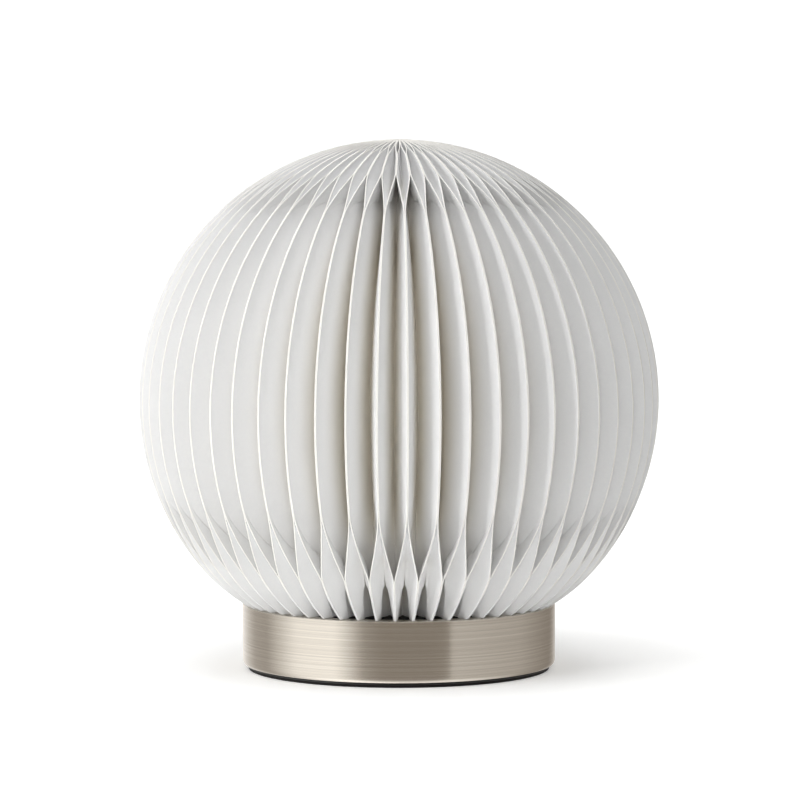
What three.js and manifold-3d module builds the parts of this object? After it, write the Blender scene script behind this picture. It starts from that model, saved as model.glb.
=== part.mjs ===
// Pleated paper globe table lamp: a drum base, a screw-in bulb on its lampholder, and a shade of crescent paper
// leaves that lifts off. Millimetres, +Z up, origin on the table under the middle of the base, front at -Y.
import * as THREE from "three";
import { mergeVertices } from "three/addons/utils/BufferGeometryUtils.js";
import Module from "manifold-3d";

const wasm = await Module();
wasm.setup();

// Clearances
const SEAT_GAP = 0.1; // between two flat faces that rest on each other
const FIT_GAP = 0.3; // round a piece that slides or lies in another
const OVERRUN = 1; // how far a cutter passes the face it opens

// Foot
const PLATE_INSET = 2.3; // of the bottom plate's rim inside the drum's wall
const PLATE_THICKNESS = 1;
const PAD_INSET = 0.5; // of the pad inside the bottom plate
const PAD_HEIGHT = 1.2;
const PAD_WIDTH = 15.6;

// Drum
const DRUM_RADIUS = 75.4;
const DRUM_HEIGHT = 29.5;
const DRUM_WALL = 1.2;
const DRUM_FOOT_ROUND = 2;
const DRUM_RIM_ROUND = 0.6;
const DRUM_LIP_WIDTH = 3.4;
const RIM_WIDTH = 6.1;

// Paper shade
const GLOBE_RADIUS = 125;
const GLOBE_CENTRE_ABOVE_DRUM = 98.1;
const PLEAT_DEPTH = 29; // from the outer edges to the valleys between two pairs
const LEAF_TAIL = 15; // of the leaves behind the valleys
const LEAF_THICKNESS = 0.45;
const LEAF_PAIRS = 54; // pairs of neighbouring leaves round the globe
const PACKS = 18; // glued packs that the leaves are built from
const LEAF_TIP_INSET = 0.4; // how far the leaf tips stand inside the drum's wall
const LEAF_FOOT_DEPTH = 13; // from the leaf tips to the valleys between them
const LEAF_FOOT_TAIL = 9;
const SEAM_WIDTH = 1; // of the glue along an edge, or on each side of a valley
const FULL_STACK_SHARE = 0.8; // of the room near the hub that the leaves may fill
const RING_THICKNESS = 2;
const HUB_RADIUS = 5.7;
const HUB_WASHER_RADIUS = 11;
const HUB_WASHER_THICKNESS = 1.2;
const HUB_BORE_RADIUS = 1.6;

// Latitudes on the globe, in degrees, where the leaves' outer edges change partners
const LOWER_CROSSED = -37.4; // below this each leaf is glued to its other neighbour
const LOWER_SPLIT = -21.6; // above this the leaves run in pairs
const UPPER_SPLIT = 48.9;
const UPPER_CROSSED = 61.9;
const POLE_ROW = 76.3;
const SOUTHERN_STEPS = 2; // straight steps from the lower split to the equator
const NORTHERN_STEPS = 3; // straight steps from the equator to the upper split
const FRONT_SEAM_ANGLE = 1.88; // of the seam nearest the front, towards the right

// Weight
const WEIGHT_GAP = 6.2; // round the weight, inside the drum
const WEIGHT_THICKNESS = 9;
const BOSS_RADIUS = 5;
const BOSS_INSET = 18; // of the bosses' centres inside the weight's rim
const BOSS_COUNT = 3;
const SCREW_RADIUS = 1.9;
const SCREW_LENGTH = 10;
const SCREW_HEAD_RADIUS = 4;
const SCREW_HEAD_HEIGHT = 0.9;
const SCREW_SLOT_WIDTH = 0.9;
const SCREW_SLOT_DEPTH = 0.4;

// Stem: a threaded tube with its nuts
const STEM_RADIUS = 5;
const STEM_BORE_RADIUS = 3.6;
const STEM_TAIL = 7; // below the weight
const NUT_ACROSS_FLATS = 14;
const NUT_HEIGHT = 4;
const WASHER_RADIUS = 10;
const WASHER_THICKNESS = 1.2;
const THREAD_GAP = 0.1;

// Lampholder
const HOLDER_RADIUS = 19;
const HOLDER_WALL = 1.6;
const HOLDER_CAP_HEIGHT = 15;
const HOLDER_CAP_NECK_RADIUS = 12;
const HOLDER_CAP_SLOPE = 6;
const HOLDER_CAP_FLOOR = 5;
const HOLDER_SHELL_HEIGHT = 36;
const HOLDER_RIM_WIDTH = 1.4;
const HOLDER_RIM_HEIGHT = 3;
const HOLDER_MOUTH_DEPTH = 5.4; // from the sleeve up to the shell's mouth
const INSERT_TAIL = 3.5; // of the insert inside the cap
const SLEEVE_WALL = 0.6;
const SLEEVE_HEIGHT = 27;
const CONTACT_RADIUS = 3;
const CONTACT_HEIGHT = 1.4;

// Bulb
const BULB_CAP_RADIUS = 13.1;
const BULB_CAP_HEIGHT = 24;
const BULB_CAP_WALL = 0.7;
const BULB_CAP_SLOPE = 4;
const BULB_CAP_END_RADIUS = 7;
const BULB_TIP_RADIUS = 4.5;
const BULB_TIP_HEIGHT = 2;
const BULB_BODY_HEIGHT = 30;
const BULB_BODY_TOP_RADIUS = 26;
const BULB_WALL = 1.4;
const BULB_GLOBE_RADIUS = 30;
const BULB_BOARD_THICKNESS = 1.6;
const BULB_DRIVER_WIDTH = 14;
const BULB_DRIVER_THICKNESS = 1.6;

// Wiring
const BLOCK_SIZE = { x: 20, y: 16, z: 11 };
const BLOCK_FROM_AXIS = 34;
const BLOCK_WAY_SPACING = 10;
const CLAMP_SCREW_SPACING = 8;
const CLAMP_SCREW_RADIUS = 1.7;
const CLAMP_SCREW_DEPTH = 2.5;
const BLOCK_SCREW_RADIUS = 1.4;
const BLOCK_SCREW_LENGTH = 15;
const LEAD_RADIUS = 0.9;
const LEAD_SPACING = 3.2;
const LEAD_INSERT_SPACING = 12;
const LEAD_SIDES = 8;
const LEAD_STEPS = 20;

// Cord inlet
const GLAND_HEIGHT = 12; // of its axis above the table
const GLAND_RADIUS = 5.3;
const GLAND_BORE_RADIUS = 3.4;
const GLAND_FLANGE_RADIUS = 8;
const GLAND_FLANGE_THICKNESS = 2.6;
const GLAND_LENGTH = 15;
const GLAND_NUT_ACROSS_FLATS = 15;
const GLAND_NUT_HEIGHT = 4;

// Facets
const DRUM_SIDES = 48;
const ROUND_SIDES = 20;
const SMALL_SIDES = 12;
const ARC_STEPS = 3;
const BULB_STEPS = 6;

// Heights above the table
const plateZ = PAD_HEIGHT + SEAT_GAP;
const drumZ = plateZ + PLATE_THICKNESS + SEAT_GAP;
const drumTopZ = drumZ + DRUM_HEIGHT;
const deckZ = drumTopZ - RING_THICKNESS - SEAT_GAP;
const weightTopZ = deckZ - DRUM_WALL - SEAT_GAP;
const weightZ = weightTopZ - WEIGHT_THICKNESS;
const stemWasherZ = weightZ - SEAT_GAP - WASHER_THICKNESS;
const lowerNutZ = stemWasherZ - SEAT_GAP - NUT_HEIGHT;
const upperNutZ = deckZ + SEAT_GAP;
const holderZ = upperNutZ + NUT_HEIGHT + SEAT_GAP;
const shellZ = holderZ + HOLDER_CAP_HEIGHT + SEAT_GAP;
const insertZ = shellZ - INSERT_TAIL;
const contactZ = shellZ + HOLDER_SHELL_HEIGHT - HOLDER_MOUTH_DEPTH - SLEEVE_HEIGHT;
const insertHeight = contactZ - SEAT_GAP - insertZ;
const tipZ = contactZ + CONTACT_HEIGHT + SEAT_GAP;
const bulbCapZ = tipZ + BULB_TIP_HEIGHT + SEAT_GAP;
const bulbBodyZ = bulbCapZ + BULB_CAP_HEIGHT + SEAT_GAP;
const boardZ = bulbBodyZ + BULB_BODY_HEIGHT - BULB_BOARD_THICKNESS;
const bulbGlobeZ = bulbBodyZ + BULB_BODY_HEIGHT + SEAT_GAP;
const globeZ = drumTopZ + GLOBE_CENTRE_ABOVE_DRUM;
const leafFootZ = drumTopZ + SEAT_GAP;

// Radii
const plateRadius = DRUM_RADIUS - PLATE_INSET;
const padRadius = plateRadius - PAD_INSET;
const weightRadius = DRUM_RADIUS - DRUM_WALL - WEIGHT_GAP;
const bossCircleRadius = weightRadius - BOSS_INSET;
const recessRadius = DRUM_RADIUS - RIM_WIDTH;
const leafTipRadius = DRUM_RADIUS - LEAF_TIP_INSET;
const footValleyRadius = leafTipRadius - LEAF_FOOT_DEPTH;
const ringHoleRadius = footValleyRadius - LEAF_FOOT_TAIL;
const hubReach = HUB_RADIUS + FIT_GAP;

// Materials
const finish = (color, roughness, metalness) => new THREE.MeshStandardMaterial({ color, roughness, metalness });
const paper = finish("#f3f2ee", 0.9, 0);
const card = finish("#eceae4", 0.85, 0);
const nickel = finish("#b5ab9a", 0.35, 1);
const steel = finish("#8f9296", 0.45, 1);
const iron = finish("#4a4b4d", 0.8, 0.6);
const black = finish("#16161a", 0.8, 0);
const blackSteel = finish("#1d1d1f", 0.5, 0.3);
const brass = finish("#b9975b", 0.4, 1);
const whitePlastic = finish("#f4f4f1", 0.5, 0);
const opal = finish("#fbfaf5", 0.4, 0);
const greyPlastic = finish("#c9cac8", 0.6, 0);
const brown = finish("#6d4630", 0.6, 0);
const blue = finish("#2f4f8f", 0.6, 0);

// Shapes

function solidOf(geometry) {
  const bare = geometry.clone().deleteAttribute("normal").deleteAttribute("uv");
  const merged = mergeVertices(bare, 1e-4);
  const vertProperties = new Float32Array(merged.attributes.position.array);
  const triVerts = new Uint32Array(merged.index.array);
  return new wasm.Manifold(new wasm.Mesh({ numProp: 3, vertProperties, triVerts }));
}

function geometryOf(solid) {
  const { vertProperties, triVerts } = solid.getMesh();
  const geometry = new THREE.BufferGeometry();
  geometry.setAttribute("position", new THREE.BufferAttribute(new Float32Array(vertProperties), 3));
  geometry.setIndex(new THREE.BufferAttribute(new Uint32Array(triVerts), 1));
  geometry.computeVertexNormals();
  return geometry;
}

function cut(body, ...cutters) {
  return geometryOf(cutters.reduce((left, cutter) => left.subtract(solidOf(cutter)), solidOf(body)));
}

function join(...bodies) {
  return geometryOf(bodies.map(solidOf).reduce((sum, next) => sum.add(next)));
}

// Turns an outline of [radius, height] points, clockwise seen with the axis on the left, about the Z axis.
function turned(outline, sides = ROUND_SIDES) {
  const closed = outline[0][0] > 0 ? [...outline, outline[0]] : outline;
  const points = closed.map(([radius, height]) => new THREE.Vector2(radius, height));
  return new THREE.LatheGeometry(points.reverse(), sides).rotateX(Math.PI / 2);
}

function disc(radius, height, sides = ROUND_SIDES) {
  return new THREE.CylinderGeometry(radius, radius, height, sides).rotateX(Math.PI / 2).translate(0, 0, height / 2);
}

function ring(outer, inner, height, sides = ROUND_SIDES) {
  return turned([[inner, 0], [inner, height], [outer, height], [outer, 0]], sides);
}

function block({ x, y, z }) {
  return new THREE.BoxGeometry(x, y, z).translate(0, 0, z / 2);
}

// Points of a quarter arc about [radius, height], from one angle to another in degrees.
function arc(radius, height, size, from, to) {
  return Array.from({ length: ARC_STEPS + 1 }, (_, step) => {
    const angle = THREE.MathUtils.degToRad(from + ((to - from) * step) / ARC_STEPS);
    return [radius + size * Math.cos(angle), height + size * Math.sin(angle)];
  });
}

function hexNut(acrossFlats, height, boreRadius) {
  const corner = acrossFlats / Math.sqrt(3);
  const shape = new THREE.Shape(
    Array.from({ length: 6 }, (_, side) => {
      const angle = (side * Math.PI) / 3;
      return new THREE.Vector2(corner * Math.cos(angle), corner * Math.sin(angle));
    }),
  );
  shape.holes.push(new THREE.Path().absarc(0, 0, boreRadius, 0, 2 * Math.PI, true));
  return new THREE.ExtrudeGeometry(shape, { depth: height, bevelEnabled: false, curveSegments: SMALL_SIDES / 2 });
}

function tube(points, radius, sides, steps) {
  const section = new THREE.Shape(
    Array.from({ length: sides }, (_, side) => {
      const angle = (side * 2 * Math.PI) / sides;
      return new THREE.Vector2(radius * Math.cos(angle), radius * Math.sin(angle));
    }),
  );
  const path = new THREE.CatmullRomCurve3(points.map((point) => new THREE.Vector3(...point)));
  return new THREE.ExtrudeGeometry(section, { extrudePath: path, steps, bevelEnabled: false });
}

// A slotted screw that points up, with its head's underside at height zero.
function screw(radius, length, headRadius, headHeight) {
  const body = turned([
    [0, length],
    [radius, length],
    [radius, 0],
    [headRadius, 0],
    [headRadius, -headHeight],
    [0, -headHeight],
  ], SMALL_SIDES);
  const slot = block({ x: 2 * (headRadius + OVERRUN), y: SCREW_SLOT_WIDTH, z: SCREW_SLOT_DEPTH + OVERRUN });
  return cut(body, slot.translate(0, 0, -headHeight - OVERRUN));
}

const lamp = new THREE.Group();

function place(group, name, geometry, material, [x, y, z] = [0, 0, 0]) {
  const mesh = new THREE.Mesh(geometry, material);
  mesh.name = name;
  mesh.position.set(x, y, z);
  group.add(mesh);
}

// Base

function drumShell() {
  const outer = DRUM_RADIUS;
  const inner = DRUM_RADIUS - DRUM_WALL;
  const deck = deckZ - drumZ;
  const footRound = arc(outer - DRUM_FOOT_ROUND, DRUM_FOOT_ROUND, DRUM_FOOT_ROUND, 0, -90);
  const shell = turned([
    [STEM_RADIUS + THREAD_GAP, deck],
    [recessRadius, deck],
    [recessRadius, DRUM_HEIGHT],
    [outer - DRUM_RIM_ROUND, DRUM_HEIGHT],
    [outer, DRUM_HEIGHT - DRUM_RIM_ROUND],
    ...footRound,
    [outer - DRUM_LIP_WIDTH, 0],
    [outer - DRUM_LIP_WIDTH, DRUM_WALL],
    [inner, DRUM_WALL],
    [inner, DRUM_HEIGHT - DRUM_WALL],
    [recessRadius + DRUM_WALL, DRUM_HEIGHT - DRUM_WALL],
    [recessRadius + DRUM_WALL, deck - DRUM_WALL],
    [STEM_RADIUS + THREAD_GAP, deck - DRUM_WALL],
  ], DRUM_SIDES);
  const inlet = disc(GLAND_RADIUS + THREAD_GAP, DRUM_WALL + 2 * RIM_WIDTH, SMALL_SIDES)
    .rotateX(-Math.PI / 2)
    .translate(0, inner - RIM_WIDTH, GLAND_HEIGHT - drumZ);
  return cut(shell, inlet);
}

function bossCentres() {
  return Array.from({ length: BOSS_COUNT }, (_, index) => {
    const angle = (index * 2 * Math.PI) / BOSS_COUNT - Math.PI / 2;
    return [bossCircleRadius * Math.cos(angle), bossCircleRadius * Math.sin(angle)];
  });
}

function weightCasting() {
  const bossLength = weightZ - plateZ - PLATE_THICKNESS - SEAT_GAP;
  const plate = ring(weightRadius, STEM_RADIUS + THREAD_GAP, WEIGHT_THICKNESS);
  const bosses = bossCentres().map(([x, y]) =>
    disc(BOSS_RADIUS, bossLength + OVERRUN, SMALL_SIDES).translate(x, y, -bossLength),
  );
  const holes = bossCentres().map(([x, y]) =>
    disc(SCREW_RADIUS + THREAD_GAP, SCREW_LENGTH + OVERRUN, SMALL_SIDES).translate(x, y, -bossLength - OVERRUN),
  );
  const blockHole = disc(BLOCK_SCREW_RADIUS + THREAD_GAP, WEIGHT_THICKNESS, SMALL_SIDES)
    .translate(0, BLOCK_FROM_AXIS, -OVERRUN);
  return cut(join(plate, ...bosses), ...holes, blockHole);
}

function bottomPlate() {
  const holes = bossCentres().map(([x, y]) =>
    disc(SCREW_RADIUS + FIT_GAP, PLATE_THICKNESS + 2 * OVERRUN, SMALL_SIDES).translate(x, y, -OVERRUN),
  );
  return cut(disc(plateRadius, PLATE_THICKNESS, DRUM_SIDES), ...holes);
}

function cordGland() {
  return turned([
    [GLAND_BORE_RADIUS, 0],
    [GLAND_BORE_RADIUS, GLAND_LENGTH + GLAND_FLANGE_THICKNESS],
    [GLAND_RADIUS, GLAND_LENGTH + GLAND_FLANGE_THICKNESS],
    [GLAND_FLANGE_RADIUS, GLAND_LENGTH + GLAND_FLANGE_THICKNESS / 2],
    [GLAND_FLANGE_RADIUS, GLAND_LENGTH],
    [GLAND_RADIUS, GLAND_LENGTH],
    [GLAND_RADIUS, 0],
  ], SMALL_SIDES).rotateX(-Math.PI / 2);
}

function buildBase() {
  const base = new THREE.Group();
  place(base, "foot_pad", ring(padRadius, padRadius - PAD_WIDTH, PAD_HEIGHT, DRUM_SIDES), black);
  place(base, "base_plate", bottomPlate(), blackSteel, [0, 0, plateZ]);
  place(base, "drum_shell", drumShell(), nickel, [0, 0, drumZ]);
  place(base, "base_weight", weightCasting(), iron, [0, 0, weightZ]);
  const plateScrew = screw(SCREW_RADIUS, SCREW_LENGTH, SCREW_HEAD_RADIUS, SCREW_HEAD_HEIGHT);
  bossCentres().forEach(([x, y], index) => {
    place(base, `plate_screw_${index + 1}`, plateScrew, steel, [x, y, plateZ - SEAT_GAP]);
  });
  const glandY = DRUM_RADIUS + SEAT_GAP - GLAND_LENGTH;
  const glandNut = hexNut(GLAND_NUT_ACROSS_FLATS, GLAND_NUT_HEIGHT, GLAND_RADIUS + THREAD_GAP).rotateX(-Math.PI / 2);
  // The flat nut stops where its corners meet the curved wall
  const nutReach = Math.sqrt((DRUM_RADIUS - DRUM_WALL) ** 2 - GLAND_NUT_ACROSS_FLATS ** 2 / 3);
  place(base, "cord_gland", cordGland(), black, [0, glandY, GLAND_HEIGHT]);
  place(base, "gland_nut", glandNut, black, [0, nutReach - SEAT_GAP - GLAND_NUT_HEIGHT, GLAND_HEIGHT]);
  return base;
}

// Stem and lampholder

function holderCap() {
  const neck = HOLDER_CAP_NECK_RADIUS;
  const outer = HOLDER_RADIUS;
  const inner = HOLDER_RADIUS - HOLDER_WALL;
  return turned([
    [STEM_RADIUS + THREAD_GAP, 0],
    [STEM_RADIUS + THREAD_GAP, HOLDER_CAP_FLOOR],
    [neck - HOLDER_WALL, HOLDER_CAP_FLOOR],
    [inner, HOLDER_CAP_SLOPE + HOLDER_WALL],
    [inner, HOLDER_CAP_HEIGHT],
    [outer, HOLDER_CAP_HEIGHT],
    [outer, HOLDER_CAP_SLOPE],
    [neck, 0],
  ]);
}

function holderShell() {
  const outer = HOLDER_RADIUS;
  const inner = HOLDER_RADIUS - HOLDER_WALL;
  const rim = HOLDER_RADIUS + HOLDER_RIM_WIDTH;
  const rimZ = HOLDER_SHELL_HEIGHT - HOLDER_RIM_HEIGHT;
  return turned([
    [inner, 0],
    [inner, HOLDER_SHELL_HEIGHT],
    [rim, HOLDER_SHELL_HEIGHT],
    [rim, rimZ],
    [outer, rimZ],
    [outer, 0],
  ]);
}

function holderInsert() {
  const radius = HOLDER_RADIUS - HOLDER_WALL - SEAT_GAP;
  const ways = [-1, 1].map((side) =>
    disc(LEAD_RADIUS + FIT_GAP, insertHeight, SMALL_SIDES).translate((side * LEAD_INSERT_SPACING) / 2, 0, -OVERRUN),
  );
  return cut(disc(radius, insertHeight), ...ways);
}

function leadPath(side) {
  const blockFace = BLOCK_FROM_AXIS - BLOCK_SIZE.y / 2;
  const wayZ = weightZ - SEAT_GAP - BLOCK_SIZE.z / 2;
  const lowZ = plateZ + PLATE_THICKNESS + 4 * LEAD_RADIUS;
  const stemEndZ = weightZ - STEM_TAIL;
  const stemX = (side * LEAD_SPACING) / 2;
  const wayX = (side * BLOCK_WAY_SPACING) / 2;
  const insertX = (side * LEAD_INSERT_SPACING) / 2;
  const stemTopZ = holderZ + HOLDER_CAP_FLOOR;
  return [
    [wayX, blockFace - SEAT_GAP, wayZ],
    [wayX, blockFace - 3 * LEAD_RADIUS, wayZ],
    [(wayX + stemX) / 2, blockFace / 2, lowZ + LEAD_RADIUS],
    [stemX, STEM_RADIUS / 2, lowZ],
    [stemX, 0, stemEndZ],
    [stemX, 0, weightTopZ],
    [stemX, 0, stemTopZ],
    [(stemX + insertX) / 2, 0, (stemTopZ + insertZ) / 2],
    [insertX, 0, insertZ],
    [insertX, 0, insertZ + insertHeight / 2],
  ];
}

function buildLampholder() {
  const holder = new THREE.Group();
  const stemZ = weightZ - STEM_TAIL;
  const stemLength = holderZ + HOLDER_CAP_FLOOR - stemZ;
  const nut = hexNut(NUT_ACROSS_FLATS, NUT_HEIGHT, STEM_RADIUS + THREAD_GAP);
  const washer = ring(WASHER_RADIUS, STEM_RADIUS + THREAD_GAP, WASHER_THICKNESS);
  const sleeveRadius = BULB_CAP_RADIUS + FIT_GAP;
  place(holder, "stem_tube", ring(STEM_RADIUS, STEM_BORE_RADIUS, stemLength, SMALL_SIDES), steel, [0, 0, stemZ]);
  place(holder, "stem_washer", washer, steel, [0, 0, stemWasherZ]);
  place(holder, "stem_nut_lower", nut, steel, [0, 0, lowerNutZ]);
  place(holder, "stem_nut_upper", nut, steel, [0, 0, upperNutZ]);
  place(holder, "lampholder_cap", holderCap(), black, [0, 0, holderZ]);
  place(holder, "lampholder_insert", holderInsert(), whitePlastic, [0, 0, insertZ]);
  place(holder, "lampholder_shell", holderShell(), black, [0, 0, shellZ]);
  const sleeve = ring(sleeveRadius + SLEEVE_WALL, sleeveRadius, SLEEVE_HEIGHT);
  place(holder, "lampholder_sleeve", sleeve, brass, [0, 0, contactZ]);
  place(holder, "centre_contact", disc(CONTACT_RADIUS, CONTACT_HEIGHT, SMALL_SIDES), brass, [0, 0, contactZ]);
  place(holder, "lead_live", tube(leadPath(1), LEAD_RADIUS, LEAD_SIDES, LEAD_STEPS), brown);
  place(holder, "lead_neutral", tube(leadPath(-1), LEAD_RADIUS, LEAD_SIDES, LEAD_STEPS), blue);
  return holder;
}

function terminalBlock() {
  const clampHoles = [-1, 1].flatMap((across) => [-1, 1].map((along) =>
    disc(CLAMP_SCREW_RADIUS + THREAD_GAP, CLAMP_SCREW_DEPTH + OVERRUN, SMALL_SIDES)
      .translate((across * BLOCK_WAY_SPACING) / 2, (along * CLAMP_SCREW_SPACING) / 2, -OVERRUN),
  ));
  const middle = disc(BLOCK_SCREW_RADIUS + THREAD_GAP, BLOCK_SIZE.z + 2 * OVERRUN, SMALL_SIDES)
    .translate(0, 0, -OVERRUN);
  return cut(block(BLOCK_SIZE), ...clampHoles, middle);
}

function buildTerminals() {
  const terminals = new THREE.Group();
  const blockZ = weightZ - SEAT_GAP - BLOCK_SIZE.z;
  place(terminals, "terminal_block", terminalBlock(), greyPlastic, [0, BLOCK_FROM_AXIS, blockZ]);
  const fixing = disc(BLOCK_SCREW_RADIUS, BLOCK_SCREW_LENGTH, SMALL_SIDES);
  place(terminals, "terminal_block_screw", fixing, steel, [0, BLOCK_FROM_AXIS, blockZ]);
  const clamp = disc(CLAMP_SCREW_RADIUS, CLAMP_SCREW_DEPTH - SEAT_GAP, SMALL_SIDES / 2);
  [-1, 1].forEach((across) => [-1, 1].forEach((along) => {
    const name = `clamp_screw_${across > 0 ? "live" : "neutral"}_${along > 0 ? "in" : "out"}`;
    const x = (across * BLOCK_WAY_SPACING) / 2;
    const y = BLOCK_FROM_AXIS + (along * CLAMP_SCREW_SPACING) / 2;
    place(terminals, name, clamp, brass, [x, y, blockZ]);
  }));
  return terminals;
}

// Bulb

function bulbCap() {
  const outer = BULB_CAP_RADIUS;
  const inner = BULB_CAP_RADIUS - BULB_CAP_WALL;
  return turned([
    [0, BULB_CAP_WALL],
    [BULB_CAP_END_RADIUS - BULB_CAP_WALL, BULB_CAP_WALL],
    [inner, BULB_CAP_SLOPE],
    [inner, BULB_CAP_HEIGHT],
    [outer, BULB_CAP_HEIGHT],
    [outer, BULB_CAP_SLOPE],
    [BULB_CAP_END_RADIUS, 0],
    [0, 0],
  ]);
}

function bulbBody() {
  const foot = BULB_CAP_RADIUS + BULB_WALL / 2;
  const top = BULB_BODY_TOP_RADIUS;
  const seatZ = BULB_BODY_HEIGHT - BULB_BOARD_THICKNESS - SEAT_GAP;
  return turned([
    [foot - BULB_WALL, 0],
    [top - 3 * BULB_WALL, seatZ - 2 * BULB_WALL],
    [top - 3 * BULB_WALL, seatZ],
    [top - BULB_WALL, seatZ],
    [top - BULB_WALL, BULB_BODY_HEIGHT],
    [top, BULB_BODY_HEIGHT],
    [foot, 0],
  ]);
}

// The opal cover: a part sphere that starts at the housing's rim and closes at the top.
function bulbGlobe() {
  const centreZ = Math.sqrt(BULB_GLOBE_RADIUS ** 2 - BULB_BODY_TOP_RADIUS ** 2);
  const dome = (radius) => {
    const lowest = -Math.asin(centreZ / radius);
    const sides = Array.from({ length: BULB_STEPS }, (_, step) => {
      const angle = lowest + ((Math.PI / 2 - lowest) * step) / BULB_STEPS;
      return [radius * Math.cos(angle), centreZ + radius * Math.sin(angle)];
    });
    return [...sides, [0, centreZ + radius]];
  };
  return turned([...dome(BULB_GLOBE_RADIUS).reverse(), ...dome(BULB_GLOBE_RADIUS - BULB_WALL)]);
}

function buildBulb() {
  const bulb = new THREE.Group();
  const boardRadius = BULB_BODY_TOP_RADIUS - BULB_WALL - FIT_GAP;
  place(bulb, "bulb_tip", disc(BULB_TIP_RADIUS, BULB_TIP_HEIGHT, SMALL_SIDES), brass, [0, 0, tipZ]);
  place(bulb, "bulb_cap", bulbCap(), nickel, [0, 0, bulbCapZ]);
  place(bulb, "bulb_body", bulbBody(), whitePlastic, [0, 0, bulbBodyZ]);
  const driverZ = bulbCapZ + BULB_CAP_SLOPE;
  const driver = block({ x: BULB_DRIVER_WIDTH, y: BULB_DRIVER_THICKNESS, z: boardZ - SEAT_GAP - driverZ });
  place(bulb, "bulb_driver_board", driver, greyPlastic, [0, 0, driverZ]);
  place(bulb, "bulb_led_board", disc(boardRadius, BULB_BOARD_THICKNESS), whitePlastic, [0, 0, boardZ]);
  place(bulb, "bulb_globe", bulbGlobe(), opal, [0, 0, bulbGlobeZ]);
  return bulb;
}

// Shade

const pitch = (2 * Math.PI) / LEAF_PAIRS; // angle between two pairs
const leavesInPack = (2 * LEAF_PAIRS) / PACKS;
const valleyRadius = GLOBE_RADIUS - PLEAT_DEPTH;
const innerRadius = valleyRadius - LEAF_TAIL;
const footZ = leafFootZ - globeZ;

function onSphere(radius, latitude) {
  const angle = THREE.MathUtils.degToRad(latitude);
  return { radius: radius * Math.cos(angle), z: radius * Math.sin(angle) };
}

function besideHub(radius) {
  return { radius: hubReach, z: Math.sqrt(radius ** 2 - hubReach ** 2) };
}

// The rows that cross a leaf, from its foot to the hub, with its outer edge, its glued valley and its inner edge.
// A pair's two leaves are glued at their inner edges, and each is glued to the next pair at the valley. In a
// paired row the outer edges of a pair are glued too. In a crossed row the glue of the valley reaches the outer
// edge instead. These outer seams open and close at the parting rows.
function leafRows() {
  const across = (latitude, crossed, parting = false) => ({
    outer: onSphere(GLOBE_RADIUS, latitude),
    valley: onSphere(valleyRadius, latitude),
    inner: onSphere(innerRadius, latitude),
    crossed,
    parting,
  });
  const southern = Array.from({ length: SOUTHERN_STEPS }, (_, step) =>
    across(LOWER_SPLIT * (1 - step / SOUTHERN_STEPS), false, step === 0),
  );
  const northern = Array.from({ length: NORTHERN_STEPS + 1 }, (_, step) =>
    across((UPPER_SPLIT * step) / NORTHERN_STEPS, false, step === NORTHERN_STEPS),
  );
  return [
    {
      outer: { radius: leafTipRadius, z: footZ },
      valley: { radius: footValleyRadius, z: footZ },
      inner: { radius: ringHoleRadius, z: footZ },
      crossed: true,
      parting: false,
    },
    across(LOWER_CROSSED, true, true),
    ...southern,
    ...northern,
    across(UPPER_CROSSED, true, true),
    across(POLE_ROW, true),
    {
      outer: besideHub(GLOBE_RADIUS),
      valley: besideHub(valleyRadius),
      inner: besideHub(innerRadius),
      crossed: true,
      parting: false,
    },
  ];
}

// One leaf in one row. side is -1 on the left of its pair's seam and 1 on the right, and clear is what the leaf
// keeps free beside the next pair. Each line of points runs inwards: own is the face towards the leaf's own seam,
// and outside and inside are the face towards the next pair, on the two sides of the valley's glue.
function leafSection({ outer, valley, inner, crossed, parting }, seamAngle, side, clear) {
  const room = (radius) => (pitch / 2) * radius - clear;
  const thickness = (radius) => Math.min(LEAF_THICKNESS, FULL_STACK_SHARE * room(radius));
  const point = ({ radius, z }, away) => {
    const angle = seamAngle + (side * away) / radius;
    return new THREE.Vector3(radius * Math.sin(angle), -radius * Math.cos(angle), z);
  };
  const past = (place, other) => {
    const share = SEAM_WIDTH / Math.hypot(other.radius - place.radius, other.z - place.z);
    const [radius, z] = [place.radius, place.z];
    return { radius: radius + (other.radius - radius) * share, z: z + (other.z - z) * share };
  };
  const inOwnSeam = (place) => point(place, 0);
  const besideOwnSeam = (place) => point(place, thickness(place.radius));
  const inNextSeam = (place) => point(place, room(place.radius));
  const besideNextSeam = (place) => point(place, room(place.radius) - thickness(place.radius));
  const glued = clear === 0;
  const ownEdge = crossed ? besideNextSeam(outer) : inOwnSeam(parting ? outer : past(outer, valley));
  const nextEdge = crossed ? inNextSeam(outer) : besideOwnSeam(outer);
  const valleyFront = inNextSeam(glued ? past(valley, outer) : valley);
  const valleyBack = inNextSeam(glued ? past(valley, inner) : valley);
  return {
    side,
    own: [ownEdge, besideNextSeam(valley), inOwnSeam(past(inner, valley))],
    outside: crossed && glued ? [nextEdge] : [nextEdge, valleyFront],
    inside: [valleyBack, besideOwnSeam(inner)],
    glued,
  };
}

// The triangles between two lines of points that run from left to right, as the face is seen from outside.
function strip(lower, upper, flipped = false) {
  const corners = [];
  const add = (a, b, c) => corners.push(...(flipped ? [a, c, b] : [a, b, c]));
  let low = 0;
  let high = 0;
  while (low < lower.length - 1 || high < upper.length - 1) {
    if ((low + 1) * (upper.length - 1) <= (high + 1) * (lower.length - 1)) {
      add(lower[low], lower[low + 1], upper[high]);
      low += 1;
    } else {
      add(lower[low], upper[high + 1], upper[high]);
      high += 1;
    }
  }
  return corners;
}

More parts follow.
